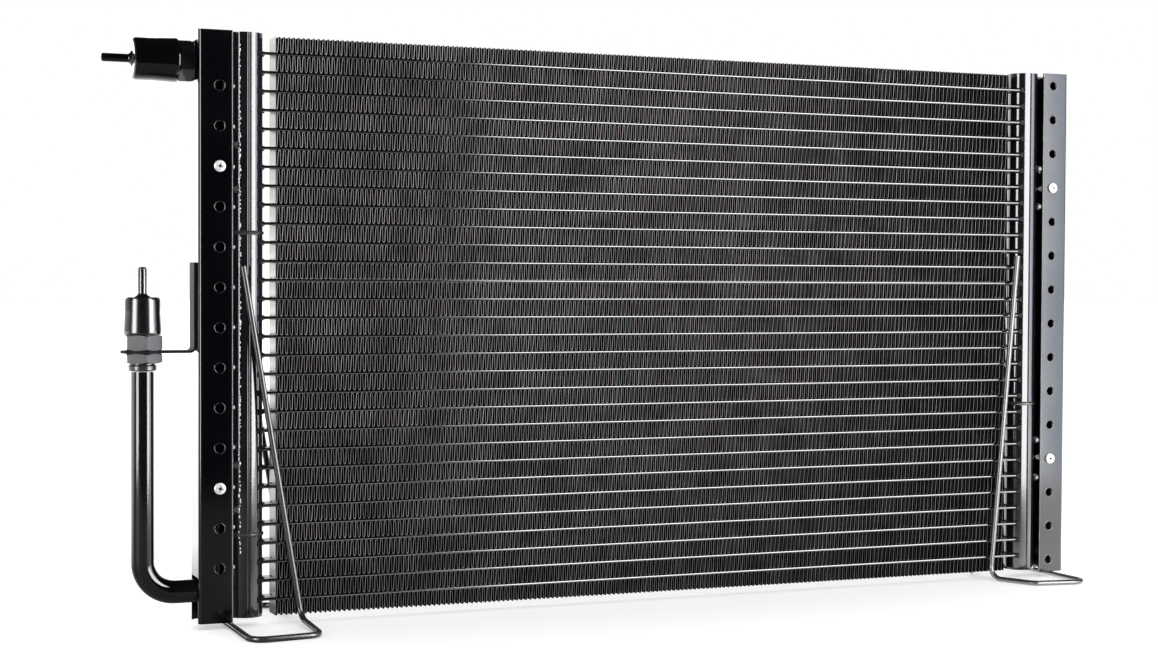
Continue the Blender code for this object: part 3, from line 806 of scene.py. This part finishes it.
def build_headers():
    """Both headers with their end caps."""
    for side_name, header_x, side in SIDES:
        for part, outward in (("plate", -side), ("tank", side)):
            node = f"{side_name}_header_{part}"
            shell = half_shell(header_x, outward)
            finish_piece(shell, f"{node}_shell", header_paint, (node,))
        for end_name, end in (("top", 1), ("bottom", -1)):
            node = f"{side_name}_{end_name}_end_cap"
            low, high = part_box(node)
            radius = (high[0] - low[0]) / 2
            thick = high[2] - low[2]
            profile = [
                (radius, 0),
                (radius, thick - 0.8 * MM),
                (radius - 0.8 * MM, thick),
                (radius * 0.55, thick),
                (radius * 0.5, thick - 0.5 * MM),
            ]
            foot = low[2] + HEADER_RISE if end > 0 else high[2]
            cap = turned(profile, FITTING_SIDES, (header_x, 0, foot), (0, 0, end))
            finish_piece(cap, f"{node}_disc", header_paint, (node,))


def build_braze():
    """The swelling of braze round each tube's end, on the header's inner side."""
    half = BRAZE_HEIGHT / 2
    tip = TUBE_HEIGHT / 2 + 0.1 * MM
    lower = [(-0.1 * MM, -half), (BRAZE_SWELL * 0.35, -half * 0.85), (BRAZE_SWELL, -tip)]
    upper = [(swell, -level) for swell, level in reversed(lower)]
    profile = [(HEADER_RADIUS + swell, level) for swell, level in lower + upper]
    outer = HEADER_RADIUS + BRAZE_SWELL
    inner = HEADER_RADIUS - 0.8 * MM
    size = (2 * outer, TUBE_WIDTH + BRAZE_SIDES, 2 * BRAZE_HEIGHT)
    for side_name, header_x, side in SIDES:
        place = (header_x, 0, tube_level(0))
        ring = turned(profile, HEADER_SIDES, place)
        combine(ring, "INTERSECT", block((header_x - side * outer, 0, tube_level(0)), size))
        cut(ring, turned([(inner, -BRAZE_HEIGHT), (inner, BRAZE_HEIGHT)], FITTING_SIDES, place))
        repeat(ring, TUBE_COUNT, (0, 0, -TUBE_PITCH))
        finish_piece(ring, f"{side_name}_braze_row", matt_black)


def on_left_tank(azimuth, reach, level):
    """A place at the left header, turned from its front towards the tank."""
    return (LEFT_X - reach * math.sin(azimuth), -reach * math.cos(azimuth), level)


def build_tank_glints():
    """A rough run of near-white drops down the front of the left tank, painting its broken
    highlight, and a light spot at each hole row, painting light that falls through the holes.
    """
    drops = []
    level = plate_low[2] + 40 * MM
    while level < plate_high[2] - 6 * MM:
        level += random.uniform(0.7, 3.8) * MM
        radius = random.uniform(0.3, 0.66) * MM
        angle = math.radians(GLINT_AZIMUTH) + random.uniform(-0.06, 0.06)
        place = on_left_tank(angle, HEADER_RADIUS - radius * 0.3, level)
        drops.append(bead(place, radius, random.uniform(1.0, 2.6)))
    angle = math.radians(HOLE_LIGHT_AZIMUTH)
    for row in range(-HOLE_LIGHT_ROWS, HOLE_LIGHT_ROWS + 1):
        place = on_left_tank(angle, HEADER_RADIUS, MIDDLE_Z + row * HOLE_PITCH)
        drops.append(bead(place, 0.8 * MM, 1.6))
    join(drops)
    finish_piece(drops[0], "left_tank_glints", glint_paint)


def build_baffle_bands():
    """The rim of each baffle, brazed round the front of its header."""
    for node in ("left_upper_baffle", "left_lower_baffle", "right_baffle"):
        low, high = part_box(node)
        header_x, _, middle = middle_of(low, high)
        reach = -low[1] + 0.4 * MM
        half = (high[2] - low[2]) / 2
        profile = [
            (reach - 0.9 * MM, -half - 0.6 * MM),
            (reach - 0.25 * MM, -half * 0.8),
            (reach, 0),
            (reach - 0.25 * MM, half * 0.8),
            (reach - 0.9 * MM, half + 0.6 * MM),
        ]
        band = turned(profile, HEADER_SIDES, (header_x, 0, middle))
        behind = (4 * HEADER_RADIUS, 2 * HEADER_RADIUS, 2 * HEADER_RADIUS)
        cut(band, block((header_x, HEADER_RADIUS * 1.35, middle), behind))
        finish_piece(band, f"{node}_rim", fitting_paint, (node,))


# Side brackets with their clips and screws


def channel(side_name, side):
    """A sheet channel: a web with both edges extruded as flanges, bent and thickened."""
    low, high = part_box(f"{side_name}_side_bracket")
    web_x = high[0] if side > 0 else low[0]
    tip_x = low[0] if side > 0 else high[0]
    start()
    bpy.ops.mesh.primitive_plane_add(size=1, rotation=(0, math.radians(90), 0))
    piece = bpy.context.object
    piece.scale = (high[2] - low[2], high[1] - low[1], 1)
    piece.location = (web_x, *middle_of(low, high)[1:])
    settle(piece)
    edit(False)
    pick_edges(piece, lambda a, b: a.y == b.y)
    bpy.ops.mesh.extrude_edges_move(TRANSFORM_OT_translate={"value": (tip_x - web_x, 0, 0)})

    def by_fold(a, b):
        return a.y == b.y and abs(a.x - web_x) + abs(b.x - web_x) < SHEET

    round_off(piece, by_fold, SHEET_BEND, 6)
    face_out(piece)
    facing = sum(face.normal.x * face.area for face in piece.data.polygons)
    if facing * side < 0:
        flip(piece)
    apply_modifier(piece, "SOLIDIFY", thickness=SHEET, offset=-1.0)
    return piece


def drill(x, y, z):
    """A round drill along Y, of the hole's size."""
    start()
    bpy.ops.mesh.primitive_cylinder_add(
        vertices=32,
        radius=HOLE_RADIUS,
        depth=DRILL_DEPTH,
        location=(x, y, z),
        rotation=(math.radians(90), 0, 0),
    )
    return added()


def hole_rims(x, y, levels):
    """The rolled rims of a row of holes."""
    rims = []
    for level in levels:
        start()
        bpy.ops.mesh.primitive_torus_add(
            major_radius=HOLE_RADIUS + RIM_RADIUS / 2,
            minor_radius=RIM_RADIUS,
            major_segments=40,
            minor_segments=10,
            location=(x, y + RIM_RADIUS / 2, level),
            rotation=(math.radians(90), 0, 0),
        )
        rims.append(bpy.context.object)
    join(rims)
    return rims[0]


def build_brackets():
    """Both channels with their hole rows; the left one is open for the pipes."""
    for side_name, side, rows in (("left", -1, 6), ("right", 1, 7)):
        node = f"{side_name}_side_bracket"
        piece = channel(side_name, side)
        low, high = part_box(node)
        tip_x = low[0] if side > 0 else high[0]
        hole_x = tip_x + side * HOLE_SETBACK
        drilled = [row for row in range(-rows, rows + 1) if abs(row) != SCREW_ROW]
        levels = [MIDDLE_Z + row * HOLE_PITCH for row in drilled]
        for level in levels:
            cut(piece, drill(hole_x, low[1], level))
        if side < 0:
            middle_y = middle_of(low, high)[1]
            top = high[2] - WINDOW_DROP
            window = (4 * SHEET, WINDOW_WIDTH, WINDOW_HEIGHT)
            cut(piece, block((low[0], middle_y, top - WINDOW_HEIGHT / 2), window))
            notch = (4 * SHEET, WINDOW_WIDTH, NOTCH_HEIGHT + 2 * SHEET)
            cut(piece, block((low[0], middle_y, low[2] + NOTCH_HEIGHT / 2 - SHEET), notch))
        soften(piece, 0.65 * MM, 4)
        name = f"{side_name}_channel"
        finish_piece(piece, name, bracket_paint, (node,), flat_sides=True)
        rims = hole_rims(hole_x, low[1], levels)
        finish_piece(rims, f"{side_name}_hole_rims", header_paint, smooth=60)
        # painted highlight: a light rod along each flange's inner edge stands in for the highlight
        # on its rounded edge
        edge_x = tip_x + side * EDGE_DEPTH
        edge_y = low[1] + EDGE_DEPTH
        ends = (low[2] + SHEET / 2, high[2] - SHEET / 2)
        edge = rod([Vector((edge_x, edge_y, level)) for level in ends], EDGE_RADIUS, 3)
        finish_piece(edge, f"{side_name}_painted_edge_highlight", edge_highlight_paint, smooth=60)


def arm_welds(spot):
    """The rounded tip of a clip's arm and the drops of weld about it."""
    tip = [(0.8 * MM, -2.2 * MM), (2.1 * MM, -1.0 * MM), (2.1 * MM, 0), (1.4 * MM, 1.2 * MM)]
    welds = [turned(tip, WELD_SIDES, spot, (0, -1, 0))]
    for drop in range(5):
        across = random.uniform(-WELD_SPREAD, WELD_SPREAD)
        down = random.uniform(-WELD_SPREAD, WELD_SPREAD)
        swell = random.uniform(0.45, 0.95) * MM
        place = (spot[0] + across, spot[1] + swell, spot[2] + down)
        welds.append(bead(place, swell, random.uniform(0.7, 1.3)))
    return welds


def build_clips():
    """Fork clips with rounded arms behind the flanges, welded to the tanks."""
    for corner, side in CORNERS:
        node = f"{corner}_clip"
        low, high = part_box(node)
        middle = middle_of(low, high)
        size = [b - a for a, b in zip(low, high)]
        piece = block(middle, size)
        inner_x = low[0] if side > 0 else high[0]
        gap = (CLIP_SLOT, size[1] * 2, size[2] - 2 * CLIP_ARM)
        cut(piece, block((inner_x, middle[1], middle[2]), gap))
        soften(piece, 0.5 * MM, 3)
        name = f"{node}_fork"
        finish_piece(piece, name, header_paint, (node,), flat_sides=True)
        welds = []
        for end in (1, -1):
            arm = middle[2] + end * (size[2] / 2 - CLIP_ARM / 2)
            welds += arm_welds((inner_x + side * 1.2 * MM, low[1] + 0.2 * MM, arm))
        join(welds)
        weld_paint = header_paint if side > 0 else fitting_paint
        finish_piece(welds[0], f"{node}_welds", weld_paint)


def screw_profile(head, length):
    """A pan head, a thread and a point."""
    profile = [
        (head * 0.7, 0.9 * MM),
        (head * 0.88, 1.05 * MM),
        (head * 0.97, 1.35 * MM),
        (head, 1.75 * MM),
        (head, 2.35 * MM),
        (1.95 * MM, SCREW_THREAD_START),
    ]
    depth = SCREW_THREAD_START
    while depth < length - SCREW_TIP:
        profile.append((1.6 * MM, depth + 0.3 * MM))
        profile.append((2.0 * MM, depth + 0.65 * MM))
        profile.append((1.6 * MM, depth + 1.0 * MM))
        depth += SCREW_THREAD_PITCH
    profile.append((0.25 * MM, length))
    return profile


def build_screws():
    """Pan head screws with a cross of slots, a matt black disc at their crossing as painted shade,
    and a turned thread.
    """
    for corner, _ in CORNERS:
        node = f"{corner}_screw"
        low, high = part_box(node)
        x, _, z = middle_of(low, high)
        head = (high[0] - low[0]) / 2 * SCREW_HEAD_SHARE
        profile = screw_profile(head, high[1] - low[1])
        piece = turned(profile, SCREW_SIDES, (x, low[1], z), (0, 1, 0))
        for turn in (0.3, 0.3 + math.pi / 2):
            slot = block((0, 0, 0), (head * 1.1, 5.0 * MM, 0.8 * MM))
            place = Matrix.Translation((x, low[1], z))
            slot.matrix_world = place @ Matrix.Rotation(turn, 4, "Y")
            settle(slot)
            cut(piece, slot)
        finish_piece(piece, f"{node}_turned", zinc_plate, (node,), smooth=30)
        # painted shade: a small matt black disc sits at the crossing of the slots, a little in
        # front of the head
        floor = (x, low[1] + 0.8 * MM, z)
        shade_disc = turned([(1.1 * MM, 0), (1.1 * MM, 0.3 * MM)], 4, floor, (0, 1, 0))
        finish_piece(shade_disc, f"{node}_painted_slot_shade", matt_black)


# Pipes, fittings and caps


def cap_profile(length, radius, mouth):
    """A press-on cap: a barrel that widens a little to its mouth, and a plain stem."""
    stem = CAP_STEM_RADIUS
    tip = length + CAP_STEM_LENGTH
    return [
        (mouth - 0.9 * MM, 0),
        (mouth - 0.25 * MM, 0.25 * MM),
        (mouth, 0.9 * MM),
        (mouth - 0.1 * MM, 2.4 * MM),
        (radius, length * 0.6),
        (radius, length - 2.0 * MM),
        (radius - 0.5 * MM, length - 0.7 * MM),
        (radius - 1.6 * MM, length),
        (stem + 2.4 * MM, length),
        (stem + 2.0 * MM, length + 0.5 * MM),
        (stem + 0.8 * MM, length + 1.1 * MM),
        (stem, length + 2.2 * MM),
        (stem, tip - 1.4 * MM),
        (stem * 0.8, tip - 0.4 * MM),
        (stem * 0.35, tip),
    ]


def build_inlet():
    """Hex fitting with a threaded nose, and its cap, along -X."""
    low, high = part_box("inlet_fitting")
    cap_low, cap_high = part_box("inlet_cap")
    z = middle_of(low, high)[2]
    axis = (-1, 0, 0)
    seat = (high[0], 0, z)
    hex_end = high[0] - cap_high[0] - 0.3 * MM
    hex_start = hex_end - INLET_HEX_LENGTH
    shoulder = PIPE_RADIUS + 1.5 * MM
    profile = [
        (PIPE_RADIUS, 0),
        (PIPE_RADIUS, hex_start),
        (shoulder, hex_start),
        (shoulder, hex_start + 2 * MM),
        (THREAD_RADIUS, hex_start + 3 * MM),
        (THREAD_RADIUS, high[0] - low[0]),
    ]
    body = turned(profile, FITTING_SIDES, seat, axis)
    combine(body, "UNION", hex_bar(hex_start, hex_end, math.radians(30), seat, axis))
    soften(body, 0.3 * MM, 2, 30)
    name = "inlet_fitting_turned"
    finish_piece(body, name, pipe_paint, ("inlet_fitting",), flat_sides=True)
    length = cap_high[0] - cap_low[0] - CAP_STEM_LENGTH
    mouth = (cap_high[2] - cap_low[2]) / 2 + CAP_GROWTH
    profile = cap_profile(length, mouth - CAP_FLARE, mouth)
    cap = turned(profile, CAP_SIDES, (cap_high[0], 0, z), axis)
    finish_piece(cap, "inlet_cap_moulded", cap_plastic, ("inlet_cap",))


def build_outlet():
    """Bent pipe, hex fitting with its nut and collar, and the cap on top."""
    pipe_low, pipe_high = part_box("outlet_pipe")
    fit_low, fit_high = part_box("outlet_fitting")
    nut_low, nut_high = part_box("outlet_nut")
    cap_low, cap_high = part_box("outlet_cap")
    strap_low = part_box("outlet_bracket_plate")[0]
    x = middle_of(nut_low, nut_high)[0]
    z = pipe_low[2] + pipe_high[1]
    corners = [Vector((pipe_high[0], 0, z)), Vector((x, 0, z)), Vector((x, 0, pipe_high[2]))]
    pipe = rod(rounded_path(corners, PIPE_BEND, 20), PIPE_RADIUS, 10)
    finish_piece(pipe, "outlet_pipe_bent", pipe_paint, ("outlet_pipe",))

    turn = math.radians(3)
    profile = [
        (COLLAR_RADIUS - COLLAR_CHAMFER, 0),
        (COLLAR_RADIUS, COLLAR_CHAMFER),
        (COLLAR_RADIUS, COLLAR_HEIGHT - COLLAR_CHAMFER),
        (COLLAR_RADIUS - COLLAR_CHAMFER, COLLAR_HEIGHT),
        (THREAD_RADIUS, COLLAR_HEIGHT),
        (THREAD_RADIUS, fit_high[2] - fit_low[2]),
    ]
    body = turned(profile, FITTING_SIDES, (x, 0, fit_low[2]))
    hex_low = strap_low[2] + STRAP_SHEET + 0.1 * MM
    combine(body, "UNION", hex_bar(hex_low, cap_low[2] - 0.3 * MM, turn, (x, 0, 0)))
    soften(body, 0.3 * MM, 2, 30)
    name = "outlet_fitting_turned"
    finish_piece(body, name, fitting_paint, ("outlet_fitting",), flat_sides=True)
    nut = hex_bar(nut_low[2], nut_high[2] + 0.2 * MM, turn, (x, 0, 0))
    soften(nut, 0.25 * MM, 2, 30)
    name = "outlet_nut_cut"
    finish_piece(nut, name, fitting_paint, ("outlet_nut",), flat_sides=True)
    length = cap_high[2] - cap_low[2] - CAP_STEM_LENGTH
    radius = (cap_high[0] - cap_low[0]) / 2 + CAP_GROWTH
    profile = cap_profile(length, radius, radius + CAP_FLARE)
    cap = turned(profile, CAP_SIDES, (x, 0, cap_low[2]))
    finish_piece(cap, "outlet_cap_moulded", satin_plastic, ("outlet_cap",))


def build_outlet_plate():
    """The bent strap that holds the outlet fitting."""
    low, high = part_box("outlet_bracket_plate")
    x = middle_of(*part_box("outlet_nut"))[0]
    start()
    bpy.ops.mesh.primitive_plane_add(size=1)
    piece = bpy.context.object
    piece.scale = (high[0] - x, STRAP_WIDTH, 1)
    piece.location = ((x + high[0]) / 2, 0, low[2])
    settle(piece)
    edit(False)

    def by_web(point):
        return abs(point.x - high[0]) < STRAP_SHEET / 9

    def by_corner(point):
        return by_web(point) and abs(point.z - low[2]) < STRAP_SHEET / 9

    pick_edges(piece, lambda a, b: by_web(a) and by_web(b))
    rise = (0, 0, high[2] - low[2])
    bpy.ops.mesh.extrude_edges_move(TRANSFORM_OT_translate={"value": rise})
    round_off(piece, lambda a, b: by_corner(a) and by_corner(b), STRAP_BEND, 8)
    face_out(piece)
    outermost = min(piece.data.polygons, key=lambda face: face.center.x)
    if outermost.normal.z >= 0:
        flip(piece)
    apply_modifier(piece, "SOLIDIFY", thickness=STRAP_SHEET, offset=-1.0)
    profile = [(STRAP_EYE_RADIUS, 0), (STRAP_EYE_RADIUS, STRAP_SHEET)]
    combine(piece, "UNION", turned(profile, CAP_SIDES, (x, 0, low[2])))
    soften(piece, 0.12 * MM, 2)
    nodes = ("outlet_bracket_plate",)
    finish_piece(piece, "outlet_strap", matt_black, nodes, flat_sides=True)


# Wire stands: offsets from the header's centre towards the core, reaches before it

LEFT_STAND = {
    "leg_top": -4.4 * MM,
    "leg_rise": 38.8 * MM,
    "leg_foot": 34.0 * MM,
    "leg_lift": 2.5 * MM,
    "inner_corner": 34.0 * MM,
    "inner_reach": 61.0 * MM,
    "outer_corner": -11.0 * MM,
    "outer_reach": 66.0 * MM,
}
RIGHT_STAND = {
    "leg_top": 12.7 * MM,
    "leg_rise": 50.3 * MM,
    "leg_foot": 32.5 * MM,
    "leg_lift": 0.0,
    "inner_corner": 17.0 * MM,
    "inner_reach": 46.0 * MM,
    "outer_corner": -24.0 * MM,
    "outer_reach": 53.0 * MM,
}


def build_stand(side_name, header_x, side, shape):
    """One bent wire with its legs on both faces of the coil."""
    over_header = HEADER_RADIUS + WIRE_RADIUS + 0.6 * MM
    over_tubes = TUBE_WIDTH / 2 + WIRE_RADIUS + 0.3 * MM

    def point(offset, y, z):
        return Vector((header_x - side * offset, y, z))

    front = [
        point(shape["leg_top"], -over_header, MIDDLE_Z + shape["leg_rise"]),
        point(shape["leg_foot"], -over_tubes, shape["leg_lift"] + WIRE_RADIUS),
        point(shape["inner_corner"], -shape["inner_reach"], WIRE_RADIUS),
        point(shape["outer_corner"], -shape["outer_reach"], WIRE_RADIUS),
    ]
    back = [Vector((spot.x, -spot.y, spot.z)) for spot in reversed(front)]
    wire = rod(rounded_path(front + back, WIRE_BEND, 8), WIRE_RADIUS, 4)
    nodes = (f"{side_name}_stand",)
    finish_piece(wire, f"{side_name}_stand_wire", wire_paint, nodes)


# Studio and camera

CAMERA_PLACE = Vector((-594.1, -1260.3, 30.9)) * MM
CAMERA_YAW = math.radians(22.79)
CAMERA_PITCH = math.radians(-1.513)
CAMERA_ROLL = math.radians(0.258)
PHOTO_WIDTH = 1158
FOCAL_PIXELS = 2000
SENSOR_WIDTH = 36


def build_camera():
    """The photograph's viewpoint, measured from the middle of the core."""
    lens = bpy.data.cameras.new("camera")
    lens.sensor_width = SENSOR_WIDTH
    lens.sensor_fit = "HORIZONTAL"
    lens.lens = SENSOR_WIDTH * FOCAL_PIXELS / PHOTO_WIDTH
    lens.clip_end = 100
    camera = bpy.data.objects.new("camera", lens)
    bpy.context.collection.objects.link(camera)
    level = math.cos(CAMERA_PITCH)
    sine, cosine = math.sin(CAMERA_YAW), math.cos(CAMERA_YAW)
    ahead = Vector((sine * level, cosine * level, math.sin(CAMERA_PITCH)))
    right = Vector((cosine, -sine, 0))
    up = right.cross(ahead)
    tilted_right = right * math.cos(CAMERA_ROLL) + up * math.sin(CAMERA_ROLL)
    tilted_up = up * math.cos(CAMERA_ROLL) - right * math.sin(CAMERA_ROLL)
    turn = Matrix((tilted_right, tilted_up, -ahead)).transposed().to_4x4()
    place = CAMERA_PLACE + Vector((CORE_X, 0, MIDDLE_Z))
    camera.matrix_world = Matrix.Translation(place) @ turn
    bpy.context.scene.camera = camera


def softbox(
    name, centre, facing, size, radiance, colour=(1, 1, 1), lights_matt=True, shows_in_gloss=True
):
    """A rectangular lamp at a place, turned to a direction, that no camera ray meets."""
    lamp = bpy.data.lights.new(name, "AREA")
    lamp.shape = "RECTANGLE"
    lamp.size, lamp.size_y = size
    lamp.energy = radiance * math.pi * size[0] * size[1]
    lamp.color = colour
    piece = bpy.data.objects.new(name, lamp)
    bpy.context.collection.objects.link(piece)
    piece.location = centre
    piece.rotation_euler = Vector(facing).to_track_quat("-Z", "Y").to_euler()
    piece.visible_camera = False
    piece.visible_diffuse = lights_matt
    piece.visible_glossy = shows_in_gloss


FLOOR_FRONT = -0.72
FLOOR_REACH = 20
FLOOR_COLOUR = (0.93, 0.93, 0.93, 1)
# painted shade: the floor's colour where reflections see it in front of the object
FLOOR_GLOSS_COLOUR = (0.25, 0.25, 0.25, 1)

# What the floor adds for the camera, near and far, and for reflections, where its glow is a
# painted reflection of bright surroundings, and over which distances in metres
FLOOR_LIFT = 0.35
FAR_LIFT = 0.4
FAR_RANGE = (0.8, 2.2)
GLOSS_BEHIND = 2.0
BEHIND_Y = (0.02, 0.4)
GLOSS_NEAR = 1.6
NEAR_X = (-0.25, -0.2)
NEAR_Y = (-0.24, -0.1)
GLOSS_BESIDE_KEY = 3.5
BESIDE_KEY_X = (0.15, 0.55)


def build_floor():
    """A wide pale floor that keeps the object's shadow and ends in front like a table; in
    reflections it glows behind, near the left header and beside the key as painted reflections, and
    is darker in front as painted shade.
    """
    start()
    bpy.ops.mesh.primitive_plane_add(size=1)
    floor = bpy.context.object
    floor.scale = (2 * FLOOR_REACH, FLOOR_REACH - FLOOR_FRONT, 1)
    floor.location = (0, (FLOOR_REACH + FLOOR_FRONT) / 2, 0)
    settle(floor)
    floor.name = "floor"
    material = bpy.data.materials.new("floor_white")
    material.use_nodes = True
    tree = material.node_tree
    shader = tree.nodes["Principled BSDF"]
    shader.inputs["Roughness"].default_value = 0.75
    shader.inputs["Emission Color"].default_value = (1, 1, 1, 1)
    seen = tree.nodes.new("ShaderNodeLightPath").outputs
    place, x, y, _ = coordinates(tree)
    away = tree.nodes.new("ShaderNodeVectorMath")
    away.operation = "LENGTH"
    tree.links.new(place, away.inputs[0])
    behind = ramp(tree, y, *BEHIND_Y)
    in_front = math_node(tree, "SUBTRACT", 1.0, behind)
    beside_key = product(tree, ramp(tree, x, *BESIDE_KEY_X), in_front)
    near = product(tree, ramp(tree, y, *NEAR_Y), in_front)
    near = product(tree, near, ramp(tree, x, *NEAR_X))
    glow_in_gloss = product(tree, behind, GLOSS_BEHIND)
    glow_in_gloss = total(tree, glow_in_gloss, product(tree, beside_key, GLOSS_BESIDE_KEY))
    glow_in_gloss = total(tree, glow_in_gloss, product(tree, near, GLOSS_NEAR))
    in_gloss = product(tree, seen["Is Glossy Ray"], glow_in_gloss)
    far = ramp(tree, away.outputs["Value"], *FAR_RANGE)
    lift = total(tree, product(tree, far, FAR_LIFT), FLOOR_LIFT)
    for_camera = product(tree, seen["Is Camera Ray"], lift)
    tree.links.new(total(tree, in_gloss, for_camera), shader.inputs["Emission Strength"])
    # painted shade: in reflections the floor in front takes the darker colour
    shaded_in_gloss = product(tree, seen["Is Glossy Ray"], in_front)
    colour = mix_colour(tree, shaded_in_gloss, FLOOR_COLOUR, FLOOR_GLOSS_COLOUR)
    tree.links.new(colour, shader.inputs["Base Color"])
    floor.data.materials.append(material)


# The world's level, and where it fades, by the direction's height and by its depth for
# reflections and for matt light
SKY_LEVEL = 0.94
SKY_DARKEST = 0.02
SKY_FADE_Z = (0.3, 0.55)
SKY_GLOSS_Y = (-0.05, 0.5)
SKY_MATT_Y = (-0.75, 0.1)


def build_world():
    """White behind and beside the object, darker in front of it for reflections."""
    world = bpy.data.worlds.new("studio")
    bpy.context.scene.world = world
    world.use_nodes = True
    tree = world.node_tree
    light = tree.nodes["Background"]
    _, _, y, z = coordinates(tree, "Generated")
    seen = tree.nodes.new("ShaderNodeLightPath").outputs
    glossy = seen["Is Glossy Ray"]
    matt = math_node(tree, "SUBTRACT", 1.0, glossy)
    low = math_node(tree, "SUBTRACT", 1.0, ramp(tree, z, *SKY_FADE_Z))
    behind = product(tree, ramp(tree, y, *SKY_GLOSS_Y), low)
    behind = product(tree, behind, glossy)
    around = product(tree, ramp(tree, y, *SKY_MATT_Y), matt)
    share = total(tree, behind, around)
    room = product(tree, share, SKY_LEVEL)
    room = total(tree, room, SKY_DARKEST)
    direct = math_node(tree, "MAXIMUM", seen["Is Camera Ray"], seen["Is Transmission Ray"])
    strength = math_node(tree, "MAXIMUM", direct, room)
    tree.links.new(strength, light.inputs["Strength"])
    light.inputs["Color"].default_value = (1, 1, 1, 1)


def build_studio():
    """A softbox close to the right half, a panel beside it, one left, one behind and a fill."""
    cool = (0.86, 0.94, 1.1)
    right_turned = (-0.171, 0.985, 0)
    softbox("key", (0.477, -0.667, 0.4), (0, 1, 0), (0.647, 0.8), 16.0, lights_matt=False)
    softbox("panel", (1.2, -0.6, 0.4), right_turned, (0.8, 0.8), 5.6, cool, lights_matt=False)
    softbox("left", (-1.2, -0.53, 0.4), (1, 0, 0), (0.5, 0.8), 13.0, lights_matt=False)
    softbox("behind", (-0.72, 2.4, 0.6), (0.25, -1, -0.15), (2.0, 1.3), 2.6)
    fill_turned = (0.15, 1, -0.6)
    softbox("fill", (-0.3, -1.9, 1.3), fill_turned, (1.8, 1.2), 4.6, shows_in_gloss=False)


build_core()
build_fin_ends()
build_headers()
build_braze()
build_tank_glints()
build_baffle_bands()
build_brackets()
build_clips()
build_screws()
build_inlet()
build_outlet()
build_outlet_plate()
build_stand("left", LEFT_X, -1, LEFT_STAND)
build_stand("right", RIGHT_X, 1, RIGHT_STAND)
build_camera()
build_floor()
build_world()
build_studio()
bpy.context.scene.view_settings.view_transform = "Standard"
